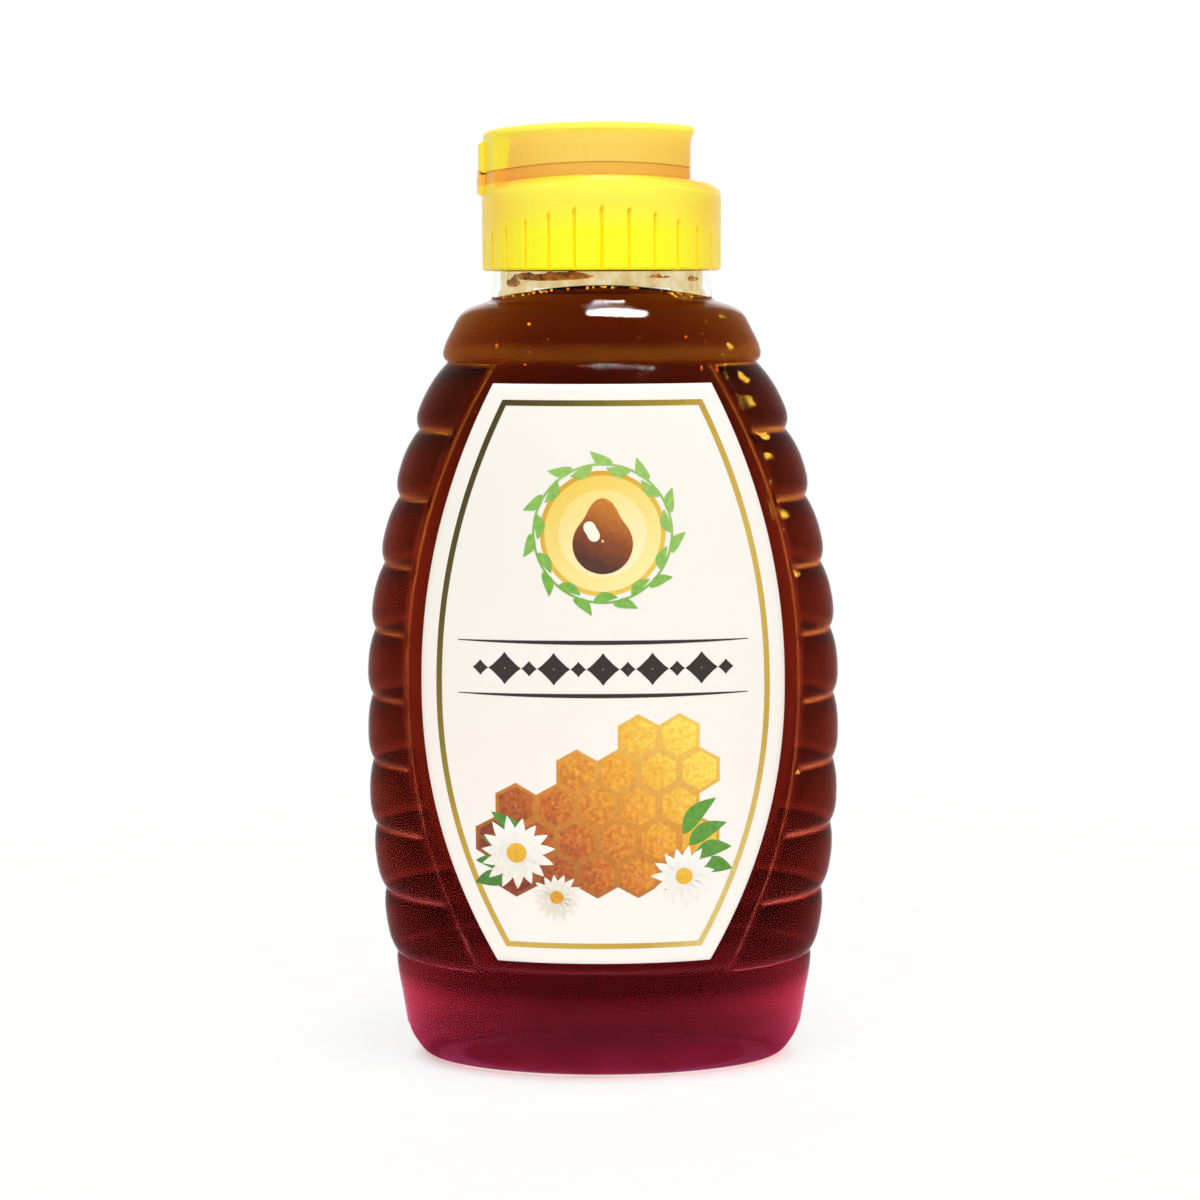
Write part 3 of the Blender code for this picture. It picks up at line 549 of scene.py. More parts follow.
def make_bottle_skin():
    """The bottle as one closed skin: up its outer face, over the rim of the mouth and down its inner
    face. The inner face is wetted up to the honey's rim, and so is the underside of the foot."""
    outer, turn = body_grid(body_rows(False), 0.0)
    rows = body_rows(True)
    inner, inner_turn = body_grid(rows, wall_inset(rows[:, 0]))
    neck = neck_grid(turn[-1], False)
    walls = [outer, neck, neck_grid(inner_turn[-1], True)[::-1], inner[::-1]]
    points, (walls, foot, floor) = closed_stack(walls, (0, 0, 0.45), (0, 0, 0.9))
    middle = points[walls].mean(1)
    inside = np.arange(len(walls)) >= (len(outer) + len(neck)) * outer.shape[1]
    # Both faces of the thin wall are split along the same diagonals, so that neither breaks the other
    walls[inside] = np.roll(walls[inside], 1, axis=1)
    wet = inside & (middle[:, 2] < honey_rim(np.arctan2(middle[:, 0], -middle[:, 1])))
    under = np.arange(len(walls)) < UNDER_STEPS * outer.shape[1]
    skin = make_mesh(
        "bottle_skin", points,
        [walls[~inside & ~under], walls[wet | under], walls[inside & ~wet], foot, floor],
        [clear_bottle_plastic(), wetted_inner_face(), filmed_neck_face()], slots=[0, 1, 2, 1, 1],
    )
    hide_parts("bottle")
    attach(skin, "bottle")


def make_honey(material):
    """The filling fits 0.04 mm inside the wall's inner face, as the same rings and panels, and ends
    in a shallow dish whose rings sink from the rim to a level middle. A clear film lies over it."""
    rows = body_rows(True)
    body, turn = body_grid(rows, wall_inset(rows[:, 0]) + 0.04)
    last = turn[-1]
    collar = ((18.48, 142.3), (18.48, 143.4), (18.3, 143.4), (17.6, 143.4))
    grid = np.concatenate([body, np.stack([on_circle(r, last, z) for r, z in collar])], 0)
    rim = honey_rim(last)
    grid[..., 2] = np.where(grid[..., 2] > 138.9, np.minimum(grid[..., 2], rim), grid[..., 2])
    dish = [
        on_circle(radius, last, rim + (HONEY_MIDDLE - rim) * drop)
        for radius, drop in ((17.0, 0.45), (16.0, 0.75), (14.0, 0.95), (10.0, 1.0), (5.0, 1.0))
    ]
    points, faces = closed_stack([grid, np.stack(dish)], (0, 0, 0.9), (0, 0, HONEY_MIDDLE))
    honey = make_mesh("honey_filling", points, faces, material)
    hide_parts("honey")
    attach(honey, "bottle")
    top = np.stack([grid[-1], *dish])
    under, over = np.array([(0, 0, 0.03), (0, 0, 0.10)])
    middle = np.array([0, 0, HONEY_MIDDLE])
    points, faces = closed_stack([(top + under)[::-1], top + over], middle + under, middle + over)
    surface = make_mesh("honey_surface", points, faces, honey_surface_film())
    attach(surface, "bottle")


def honey_surface_film():
    """Free surface of the honey: glossy and amber, with a few slow ripples 6 mm across."""
    return clouded_material(
        "glossy_honey_surface", {"Roughness": 0.02, "IOR": 1.49, "Transmission Weight": 1.0},
        6.0, 2.0, [(0.35, "DCA860"), (0.65, "F2C890")], (0.5, 0.1),
    )


def dried_streak():
    """Honey left thin on the wall of the neck and partly dried: browner than the rest, still glossy."""
    return clouded_material(
        "thin_honey_streak", {"Roughness": 0.12, "IOR": 1.49, "Transmission Weight": 0.45},
        2.0, 3.0, [(0.35, "6A3408"), (0.6, "B87A1C")],
    )


def make_residue(material):
    """Smears of honey on the inside of the collar: thin patches whose edges wander with summed sines.
    Each has a start and an end in degrees, a height, a half height and a phase."""
    patches = (
        (-57, -4, 144.3, 0.75, 1.0), (-64, -50, 143.3, 0.8, 2.3), (24, 40, 144.2, 0.25, 4.1),
        (54, 66, 143.8, 0.4, 5.2),
    )
    points, faces = [], []
    columns, rows = 60, 7
    s = np.linspace(0, 1, columns)[None, :]
    t = np.linspace(-1, 1, rows)[:, None]
    edge = np.sin(math.pi * s) ** 0.45
    thick = 0.02 + 0.30 * edge * (1 - t**2)
    wall = COLLAR_BORE_R - 0.03
    for k, (start, end, middle, half, phase) in enumerate(patches):
        turn = np.radians(start + (end - start) * s)
        wander = 0.22 * np.sin(9 * s + phase) + 0.14 * np.sin(23 * s + 2 * phase) + 0.08 * np.sin(51 * s)
        z = middle + half * edge * t + wander * (0.5 + 0.5 * t) * edge
        points += [on_circle(r, turn, z).reshape(-1, 3) for r in (wall, wall - thick)]
        faces += sheet_faces(rows, columns, k * 2 * rows * columns)
    smear = make_mesh("honey_smears_in_neck", np.vstack(points), faces, material)
    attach(smear, "bottle")


def air_bubble():
    """Air caught in the honey: each bubble is a tiny lens, and its pale gold colour paints the glint that
    the lens gives.
    """
    return clouded_material(
        "air_bubble_in_honey", {"Roughness": 0.15, "IOR": 1.49, "Transmission Weight": 0.35},
        2.0, 1.0, [(0.4, "C8861E"), (0.6, "FFE49A")],
    )


def make_bubbles():
    """Bubbles as small spheres: a row that clings under the honey's edge at the wall, and a few that
    hang inside the shoulder, each a unit sphere times its radius, moved to its centre."""
    rng = np.random.default_rng(7)
    rows, columns = 7, 10
    tilt = np.linspace(0.001, math.pi - 0.001, rows)[:, None]
    turn = np.linspace(0, 2 * math.pi, columns, endpoint=False)[None, :]
    sphere = on_circle(np.sin(tilt), turn + math.pi / 2, -np.cos(tilt))
    rim_count, deep_count = 64, 46
    round_turn = np.concatenate([
        rng.uniform(-1.25, 1.25, rim_count * 3 // 4), rng.uniform(1.9, 4.4, rim_count // 4),
    ])
    size = rng.uniform(0.10, 0.26, rim_count)
    reach = 18.45 - size
    sunk = size + rng.uniform(0.0, 0.5, rim_count) ** 2
    rim = on_circle(reach, round_turn, honey_rim(round_turn) - sunk)
    deep_z = rng.uniform(112.0, 137.0, deep_count)
    deep_turn = rng.uniform(-1.2, 1.2, deep_count) + math.pi * rng.integers(0, 2, deep_count)
    share = rng.uniform(0.80, 0.93, deep_count)
    wide = np.interp(deep_z, [112, 129, 137], [37.0, 27.5, 24.5]) * share
    deep = np.interp(deep_z, [112, 129, 137], [23.5, 22.0, 21.0]) * share
    deep = np.stack([wide * np.sin(deep_turn), -deep * np.cos(deep_turn), deep_z], -1)
    centre = np.vstack([rim, deep])
    size = np.concatenate([size, rng.uniform(0.12, 0.34, deep_count)])
    points = centre[:, None, None] + size[:, None, None, None] * sphere
    shift = rows * columns * np.arange(len(centre))[:, None, None]
    faces = (grid_faces(rows, columns)[None] + shift).reshape(-1, 4)
    bubbles = make_mesh("honey_bubbles", points.reshape(-1, 3), [faces], air_bubble())
    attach(bubbles, "bottle")


# Printed label


def label_half_width(z):
    """Half width of the label, which leaves an even strip of the panel bare round it."""
    return bulged_half_width(z, LABEL_LOW, LABEL_HIGH, 18.95, 13.25, 2.1)


def on_label(x, z, lift):
    """Lays flat label coordinates on the front panel: depth from the ellipse at each height."""
    a = through(z, GROOVE_Z, GROOVE_A) + crest_swell(z) + lift
    b = through(z, GROOVE_Z, GROOVE_B) + crest_swell(z) + lift
    return np.stack([x, -b * np.sqrt(np.clip(1 - (x / a) ** 2, 0, 1)), z], -1)


def make_label_film():
    """Label film, 0.2 mm thick so that it shows, on the front panel, with its edge closed."""
    z = np.linspace(LABEL_LOW, LABEL_HIGH, 90)[:, None]
    x = label_half_width(z) * np.linspace(-1, 1, 61)[None, :]
    z = z + 0 * x
    points = np.concatenate([on_label(x, z, 0.26), on_label(x, z, 0.06)]).reshape(-1, 3)
    film = make_mesh("label_film", points, sheet_faces(*x.shape), satin_label_film())
    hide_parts("front_label")
    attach(film, "bottle")


def satin_label_film():
    """White polypropylene film with a satin varnish: a warm white that creams towards its foot,
    with a fine fibre, drawn 0.5 mm coarse so that it shows."""
    material, tree, shader, place = new_material("satin_label_film", {"Specular IOR Level": 0.35})
    split = add_node(tree, "SeparateXYZ", {"Vector": place})
    height = add_node(tree, "MapRange", {"From Min": 23 * MM, "From Max": 126 * MM, "Value": (split, "Z")})
    add_node(
        tree, "ValToRGB", {"Fac": height},
        stops=[(0.0, "FFFAF4"), (0.35, "FDF5EE"), (0.7, "F8F3EB"), (1.0, "F7F3EC")],
        into=(shader, "Base Color"),
    )
    fibre = add_node(tree, "TexNoise", {"Scale": 1 / (0.5 * MM), "Detail": 2.0, "Vector": place})
    add_node(
        tree, "Bump", {"Strength": 0.4, "Distance": 0.01 * MM, "Height": fibre}, into=(shader, "Normal"),
    )
    add_node(
        tree, "MapRange",
        {"From Min": 0.3, "From Max": 0.7, "To Min": 0.34, "To Max": 0.44, "Value": fibre},
        into=(shader, "Roughness"),
    )
    return material


def printed(name, sheets, lift, material):
    """Ink or foil on the label: each sheet is a grid of flat (x, z) points, laid on the film."""
    points, faces, first = [], [], 0
    for sheet, wrap in sheets:
        rows, columns = sheet.shape[:2]
        points.append(on_label(sheet[..., 0], sheet[..., 1], lift).reshape(-1, 3))
        faces.append(grid_faces(rows, columns, wrap, first))
        first += rows * columns
    piece = make_mesh(name, np.vstack(points), faces, material)
    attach(piece, "bottle")


def blot(centre, radius, turn_count=24, rings=4, lean=0.0):
    """Star-shaped sheet: rings of points at rising shares of a radius that may vary with the angle.
    Rows run inwards, so that the sheet faces out of the label."""
    angle = np.linspace(0, 2 * math.pi, turn_count, endpoint=False)[None, :]
    share = np.linspace(1, 0.04, rings)[:, None]
    r = (radius(angle) if callable(radius) else radius) * share
    x = centre[0] + r * np.cos(angle + lean)
    z = centre[1] + r * np.sin(angle + lean)
    return np.stack([x, z], -1), True


def leaf(base, length, width, lean, bend):
    """Pointed leaf: half width is a sine of the way along, on a midrib that bends to one side."""
    t = np.linspace(0.001, 0.999, 15)[:, None]
    s = np.linspace(-1, 1, 5)[None, :]
    half = width / 2 * np.sin(math.pi * t**0.8) ** 0.9
    along = length * t
    across = half * s + bend * length * np.sin(math.pi * t)
    x = base[0] + along * math.cos(lean) - across * math.sin(lean)
    z = base[1] + along * math.sin(lean) + across * math.cos(lean)
    return np.stack([x, z], -1)[:, ::-1], False


def stripe(path, width):
    """Band of a width along a path of flat points, mitred by its smoothed normals."""
    path = np.asarray(path, float)
    along = np.gradient(path, axis=0)
    along /= np.linalg.norm(along, axis=1, keepdims=True)
    normal = np.stack([-along[:, 1], along[:, 0]], -1)
    w = np.broadcast_to(width, len(path))[:, None] / 2
    return np.stack([path + normal * w, path - normal * w], 1), False


def ink(name, stops, lean=(0.0, 1.0), span=(23, 126), mottling=0.25, roughness=0.4, metallic=0.0):
    """Screen-printed ink or foil: its shade changes slowly along lean, from the first to the second
    distance of span in millimetres, and is mottled by noise of the size of a 0.8 mm printing dot."""
    material, tree, shader, place = new_material(name, {"Roughness": roughness, "Metallic": metallic})
    line = add_node(tree, "VectorMath", {0: place, 1: (lean[0], 0.0, lean[1])}, "DOT_PRODUCT")
    along = add_node(
        tree, "MapRange", {"From Min": span[0] * MM, "From Max": span[1] * MM, "Value": (line, "Value")},
    )
    dots = add_node(tree, "TexNoise", {"Scale": 1 / (0.8 * MM), "Detail": 2.0, "Vector": place})
    level = add_node(tree, "Math", {0: dots, 1: 0.5}, "SUBTRACT")
    shade = add_node(tree, "Math", {0: level, 1: mottling, 2: along}, "MULTIPLY_ADD")
    add_node(tree, "ValToRGB", {"Fac": shade}, stops=stops, into=(shader, "Base Color"))
    return material


def inset_outline(inset):
    """Closed path that keeps an inset from the label's border."""
    z = np.linspace(LABEL_LOW + inset, LABEL_HIGH - inset, 60)
    half = label_half_width(z)
    slope = np.gradient(half, z)
    half = half - inset * np.sqrt(1 + slope**2)
    top = np.linspace(half[-1], -half[-1], 24)[1:-1]
    low = np.linspace(-half[0], half[0], 24)[1:-1]
    return np.concatenate([
        np.stack([half, z], -1), np.stack([top, np.full_like(top, z[-1])], -1),
        np.stack([-half[::-1], z[::-1]], -1), np.stack([low, np.full_like(low, z[0])], -1),
    ])


def frame_sheet(inset, width):
    """Closed line of a width, an inset away from the label's border."""
    outer, inner = inset_outline(inset), inset_outline(inset + width)
    return np.stack([outer, inner], 0), True


def hexagon(centre, size, thickness=None):
    """Hexagon filled to its middle, or a hexagonal band of a thickness. Each side has five points."""
    corner = (0.5 + np.arange(7)) * math.pi / 3
    edge = np.stack([np.cos(corner), np.sin(corner)], -1)
    s = np.linspace(0, 1, 5, endpoint=False)[None, :, None]
    ring = (edge[:-1, None] * (1 - s) + edge[1:, None] * s).reshape(-1, 2)
    inner = 0.03 if thickness is None else 1 - thickness / size
    share = np.linspace(1, inner, 4 if thickness is None else 2)[:, None, None]
    return np.asarray(centre) + size * ring[None] * share, True


def make_label_art():
    """Prints the label: a gold line round it, a badge with a drop of honey in a wreath, a rule of
    lozenges, and a piece of comb with daisies. All of it is generic."""
    # Gold disc with a drop on it, in a wreath of leaves
    hub = np.array([0.0, 100.2])
    edge, disc, glow = ([blot(hub, reach, 60, 5)] for reach in (10.9, 10.1, 7.6))
    badge = (0.5, -0.85), (-96, -74), 0.3
    leaves = []
    for k in range(22):
        angle = 2 * math.pi * k / 22
        base = hub + (12.0 + 0.4 * (k % 2)) * np.array([math.cos(angle), math.sin(angle)])
        leaves.append(leaf(base, 4.4, 1.8, angle + (1.25 if k % 2 else 1.9), 0.12))
    ring = 2 * math.pi * np.arange(121) / 120
    leaves.append(stripe(hub + 12.0 * np.stack([np.cos(ring), np.sin(ring)], -1), 0.4))
    for side in (-1, 1):
        for k in range(4):
            base = (side * (14.0 + 1.0 * k), 45.6 - 2.0 * k + 1.2 * side)
            lean = math.pi / 2 - side * (0.75 + 0.32 * k)
            leaves.append(leaf(base, 8.6 - 0.9 * k, 3.0, lean, 0.1 * side))

    def drop_outline(angle):
        """Round below and drawn out to a tip above, by a high power of the sine."""
        return 5.2 * (1 + 0.60 * np.clip(np.sin(angle), 0, 1) ** 9) * (1 - 0.10 * np.sin(angle))

    drop = [blot((0.0, 98.9), drop_outline, 48, 7)]
    shine = [blot((-1.9, 100.6), lambda angle: 1.0 + 0.9 * np.sin(angle) ** 2, 20, 3, 0.5)]

    def lozenge(angle):
        """Lozenge with hollow sides: one over the sum of powers of the cosine and of the sine."""
        return 1.25 / (np.abs(np.cos(angle)) ** 0.8 + np.abs(np.sin(angle)) ** 0.8)

    # Lozenges in dark ink between two tapered rules
    marks = []
    for k in range(-5, 6):
        size = 2.3 if k % 2 == 0 else 1.1
        marks.append(blot((4.3 * k, 76.5), lambda angle, size=size: size * lozenge(angle), 24, 3))
    for level in (81.2, 71.8):
        s = np.linspace(-1, 1, 61)
        marks.append(stripe(np.stack([25.5 * s, level + 0 * s], -1), 0.15 + 0.6 * (1 - s**2)))

    # Piece of comb: each row of cells starts half a cell along from the one below it
    cells, walls = [], []
    size = 4.15
    for row, (first, count) in enumerate(((-2, 5), (-2.5, 6), (-2, 5), (-0.5, 4), (1, 2))):
        for k in range(count):
            x = (first + k - 0.15) * size * math.sqrt(3)
            z = 39.5 + row * size * 1.5
            walls.append(hexagon((x, z), size, 0.75))
            cells.append(hexagon((x, z), size - 0.72))

    # Daisies
    petals, hearts = [], []
    for x, z, reach in ((-15.4, 43.4, 6.6), (14.2, 39.1, 5.6), (-8.3, 35.5, 4.4)):
        for k in range(15):
            angle = 2 * math.pi * k / 15 + 0.1 * x
            base = np.array([x, z]) + 0.16 * reach * np.array([math.cos(angle), math.sin(angle)])
            petals.append(leaf(base, reach * (0.84 + 0.06 * math.sin(5 * k)), 0.32 * reach, angle, 0.02))
        hearts.append(blot((x, z), 0.27 * reach, 24, 4))

    # Each print's lift from the bottle in millimetres, then its ink
    for name, sheets, lift, *ink_parts in (
        ("label_gold_frame", [frame_sheet(2.75, 1.0)], 0.29, "gold_foil_line",
         [(0.0, "3E3412"), (0.15, "5E501C"), (0.3, "96802A"), (0.42, "C8A240"), (0.62, "D6B452"),
          (0.85, "CBA444"), (1.0, "EBD384")], (0.8, -0.45), (-72, 5), 0.1, 0.32, 0.5),
        ("label_badge_edge", edge, 0.28, "gold_badge_ink_1", [(0.0, "D9A62A"), (1.0, "F0C64A")], *badge),
        ("label_badge", disc, 0.29, "gold_badge_ink_2", [(0.0, "F4CF52"), (1.0, "FFEFA6")], *badge),
        ("label_badge_glow", glow, 0.30, "gold_badge_ink_3", [(0.0, "F9DC70"), (1.0, "FFF6CC")], *badge),
        ("label_leaves", leaves, 0.31, "leaf_green_ink",
         [(0.0, "3F7A26"), (0.5, "6FAF3C"), (1.0, "B4D474")], (0.3, 0.8), (20, 110), 0.5),
        ("label_drop", drop, 0.32, "amber_drop_ink",
         [(0.0, "4A1E06"), (0.35, "8E4209"), (0.7, "C9781A"), (1.0, "F2B63C")],
         (0.45, 0.9), (85, 99), 0.25, 0.35),
        ("label_drop_shine", shine, 0.35, "pale_cream_ink", [(0.0, "FFF3C8"), (1.0, "FFFBEA")]),
        ("label_rule_marks", marks, 0.29, "dark_brown_ink",
         [(0.0, "140C08"), (1.0, "2E1C14")], (0.0, 1.0), (23, 126), 0.25, 0.35),
        ("label_comb_walls", walls, 0.29, "comb_wall_ink",
         [(0.0, "8E3F16"), (0.5, "D98B28"), (1.0, "F7CB58")], (0.5, 0.8), (20, 62), 0.35),
        ("label_comb_cells", cells, 0.30, "comb_cell_ink",
         [(0.0, "7E2C10"), (0.3, "C9661C"), (0.6, "F0A62C"), (1.0, "FFE65A")],
         (0.7, 0.5), (8, 46), 0.6, 0.35),
        ("label_petals", petals, 0.33, "daisy_petal_ink",
         [(0.0, "E4D4BC"), (0.5, "FBF6EC"), (1.0, "FFFFFF")], (0.2, 0.9), (20, 50), 0.8),
        ("label_daisy_hearts", hearts, 0.36, "daisy_heart_ink",
         [(0.0, "D98A12"), (1.0, "FFD93B")], (0.2, 0.9), (25, 48), 0.7, 0.45),
    ):
        printed(name, sheets, lift, ink(*ink_parts))


# Closure


def moulded_yellow(name, shades, side_shade, low, high, flute_shade=0.0, pad_highlight=0.0):
    """Polypropylene, injection moulded in deep yellow and a little translucent, with the satin of a lightly
    blasted mould: orange-peel 0.45 mm across. shades is a ramp up the crowned height, from low to high in
    millimetres, which pad_highlight lifts at the hinge's end as a painted highlight. flute_shade deepens
    the colour as painted shade where the radius falls under the skirt's, in the fluting and the recess, and
    side_shade tints it as painted shade away from the front."""
    material, tree, shader, place = new_material(
        name,
        {"IOR": 1.49, "Specular IOR Level": 0.35, "Coat Weight": 0.1, "Coat Roughness": 0.16,
         "Subsurface Weight": 0.15, "Subsurface Radius": (2.0 * MM, 1.2 * MM, 0.4 * MM),
         "Subsurface Scale": 1.0},
    )
    split = add_node(tree, "SeparateXYZ", {"Vector": place})
    across = add_node(tree, "Math", {0: (split, "X"), 1: (split, "X")}, "MULTIPLY")
    crown = CROWN / SKIRT_R**2 / MM
    level = add_node(tree, "Math", {0: across, 1: crown, 2: (split, "Z")}, "MULTIPLY_ADD")
    rise = add_node(tree, "MapRange", {"From Min": low * MM, "From Max": high * MM, "Value": level})
    # Painted highlight at the lid's hinge end
    end = add_node(
        tree, "MapRange",
        {"From Min": -15.5 * MM, "From Max": -17.5 * MM, "To Max": pad_highlight, "Value": (split, "X")},
        EASED,
    )
    lifted = add_node(tree, "Math", {0: rise, 1: end}, "ADD")
    stops = [((z - low) / (high - low), code) for z, code in shades]
    shade = add_node(tree, "ValToRGB", {"Fac": lifted}, stops=stops)
    round_axis = add_node(tree, "VectorMath", {0: place, 1: (1.0, 1.0, 0.0)}, "MULTIPLY")
    radius = add_node(tree, "VectorMath", {0: round_axis}, "LENGTH")
    # Painted shade where the radius falls under 21.42 mm, in the fluting, the recess and the bore
    thin = add_node(
        tree, "MapRange",
        {"From Min": 21.42 * MM, "From Max": 21.02 * MM, "To Max": flute_shade, "Value": (radius, "Value")},
    )
    # Painted shade towards the sides and the back, away from the front
    side = add_node(
        tree, "MapRange", {"From Min": -20.5 * MM, "From Max": -9.0 * MM, "Value": (split, "Y")}, EASED,
    )
    flow = add_node(tree, "TexNoise", {"Scale": 1 / (14.0 * MM), "Detail": 2.0, "Vector": place})
    drift = add_node(tree, "MapRange", {"From Min": 0.3, "From Max": 0.7, "To Max": 0.35, "Value": flow})
    for code, share in (("FFDC96", thin), (side_shade, side), ("FFF4DC", drift)):
        shade = add_node(tree, "Mix", {0: share, 6: shade, 7: to_linear(code)}, TINTED), 2
    tree.links.new(shade[0].outputs[2], shader.inputs["Base Color"])
    peel = add_node(tree, "TexNoise", {"Scale": 1 / (0.45 * MM), "Detail": 3.0, "Vector": place})
    add_node(
        tree, "Bump", {"Strength": 0.5, "Distance": 0.012 * MM, "Height": peel}, into=(shader, "Normal"),
    )
    add_node(
        tree, "MapRange", {"From Min": 0.3, "From Max": 0.7, "To Min": 0.28, "To Max": 0.42, "Value": flow},
        into=(shader, "Roughness"),
    )
    return material


def plain_moulded(name, shades, roughness, grain_mm):
    """Uncoloured moulding, matt or satin and a little translucent: two near shades that drift over
    3 mm, and a grain of its own size, drawn coarser than the real one so that it shows."""
    return clouded_material(
        name, {"Roughness": roughness, "Subsurface Weight": 0.1, "Subsurface Scale": MM},
        3.0, 2.0, list(zip((0.3, 0.7), shades)), (0.5, 0.03 * grain_mm), grain_mm,
    )


def make_closure_thread(material):
    """Thread inside the skirt: a trapezium section swept up a helix of 1.35 turns, whose radius and
    width fade at both ends."""
    root, tip, start, length, low = BORE_R + 0.05, 18.9, 0.32, 1.35, 147.2
    half_root, half_tip = 0.9, 0.35
    turns = np.linspace(0, length, int(90 * length))
    fade = np.clip(np.minimum(turns, length - turns) / 0.09, 0.02, 1)
    angle = 2 * math.pi * (turns + start)
    middle = low + THREAD_PITCH * turns
    reach = root + (tip - root) * fade
    section = ((root, half_root), (reach, half_tip), (reach, -half_tip), (root, -half_root))
    grid = np.stack([on_circle(r, angle, middle + dz * np.maximum(fade, 0.3)) for r, dz in section], 1)
    end = grid.shape[0] * grid.shape[1]
    ends = np.array([[0, 1, 2, 3], [end - 1, end - 2, end - 3, end - 4]])
    thread = make_mesh("closure_thread", grid.reshape(-1, 3), [grid_faces(len(turns), 4), ends], material)
    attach(thread, "closure")


def make_hinge_film(material):
    """Living hinge: a thin web on the arc of the two pads, across the gap between them."""
    steps = 15
    turn = np.radians(np.linspace(-102.5, -77.5, steps))[None, :]
    height = np.linspace(161.8, 163.2, steps)[:, None]
    points = np.concatenate([on_circle(r, turn, height) for r in (22.26, 21.96)]).reshape(-1, 3)
    web = make_mesh("hinge_film", points, sheet_faces(steps, steps), material)
    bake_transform(web)


def make_parting_seat(material):
    """Low lip inside the parting line, which the lid closes on: the waist's outline, a circle that a
    power blend cuts off at the thumb flat, drawn in by a hair and lowered by the crown."""
    turn = np.linspace(0, 2 * math.pi, 160, endpoint=False)
    flat, sharpness = 15.72, 40
    cut = (19.4 * np.maximum(np.cos(turn), 0.01) / flat) ** sharpness
    recessed = 19.4 * (1 + cut) ** (-1 / sharpness)
    weight = smooth_step(np.abs(turn - math.pi), math.radians(26), math.radians(34))
    waist = 21.2 * (1 - weight) + recessed * weight
    loops = []
    for inset, z in ((0.14, 163.3), (0.14, 163.9), (0.6, 163.9), (0.6, 163.3)):
        x, y = (waist - inset) * np.cos(turn), (waist - inset) * np.sin(turn)
        loops.append(np.stack([x, y, z - CROWN * (x / SKIRT_R) ** 2], -1))
    points = np.stack(loops).reshape(-1, 3)
    # The last of the four loops joins the first
    faces = grid_faces(5, len(turn)) % len(points)
    seat = make_mesh("parting_seat", points, [faces], material, smooth=False)
    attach(seat, "closure")


def make_valve_slits():
    """The two crossed slits of the valve, open a hair, as narrow dark strips along the dish."""
    s = np.linspace(-1, 1, 21)[:, None]
    w = np.linspace(-1, 1, 2)[None, :]
    along, across = 3.3 * s + 0 * w, 0.09 * w * (1 - 0.8 * s**2)
    height = 160.19 + 0.9 * np.interp(np.abs(along) / 6.7, [0.0, 0.5, 1.0], [0.0, 0.30, 1.0]) + 0.03
    sheets = [np.stack([along, across, height], -1), np.stack([-across, along, height + 0.004], -1)]
    points = np.concatenate([sheet.reshape(-1, 3) for sheet in sheets])
    faces = [grid_faces(21, 2, False)[:, ::-1], grid_faces(21, 2, False, 42)[:, ::-1]]
    dark = plain_moulded("shadowed_silicone_cut", ("3A3226", "4A4032"), 0.6, 0.3)
    slits = make_mesh("valve_slits", points, faces, dark, smooth=False)
    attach(slits, "valve_unit")


def make_closure():
    """Dresses the solids of the closure, and adds what they leave out: the skirt's thread, the
    hinge's film, the lip that the lid closes on, and the valve's slits."""
    # The waist's orange shades above 161.9 mm are painted shade under the lid
    base_material = moulded_yellow(
        "moulded_yellow_polypropylene",
        [
            (145.4, "FFFF12"), (152.0, "FFFF18"), (157.0, "FFF04A"), (160.0, "FFFA50"), (161.5, "FFFA50"),
            (161.9, "FADA76"), (164.0, "FAD670"),
        ],
        "FFE2B0", 145.4, 164.0, flute_shade=0.8,
    )
    # The lid's orange wall is painted shade under its top band, which is painted brighter where the light
    # from above falls
    lid_material = moulded_yellow(
        "moulded_yellow_polypropylene_lid",
        [(162.0, "FFD862"), (166.5, "FFD75E"), (168.6, "FFDE5E"), (169.6, "FFF458"), (171.6, "FFFA50")],
        "FFEFC0", 162.0, 171.6, pad_highlight=0.9,
    )
    # Foamed polyethylene is matt with open cells; the other two are smooth and uncoloured
    dressed = (
        ("closure_base", base_material), ("lid", lid_material),
        ("seal_ring", plain_moulded("foamed_white_liner", ("F1EFE8", "FAF9F4"), 0.75, 0.6)),
        ("valve_retainer", plain_moulded("natural_polypropylene", ("E9E6DA", "F2F0E6"), 0.4, 0.4)),
        ("silicone_valve", plain_moulded("translucent_silicone", ("E4E2D8", "EFEDE6"), 0.45, 0.3)),
    )
    for node, material in dressed:
        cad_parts[node].data.materials.clear()
        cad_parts[node].data.materials.append(material)
    make_closure_thread(base_material)
    make_hinge_film(base_material)
    make_parting_seat(base_material)
    make_valve_slits()


# Stage


def seen_rays(tree):
    """1 for rays that see a surface: straight from the camera, through clear pieces or reflected."""
    path = add_node(tree, "LightPath")
    seen = add_node(tree, "Math", {0: (path, "Is Camera Ray"), 1: (path, "Is Transmission Ray")}, "MAXIMUM")
    return add_node(tree, "Math", {0: (path, "Is Glossy Ray"), 1: seen}, "MAXIMUM")


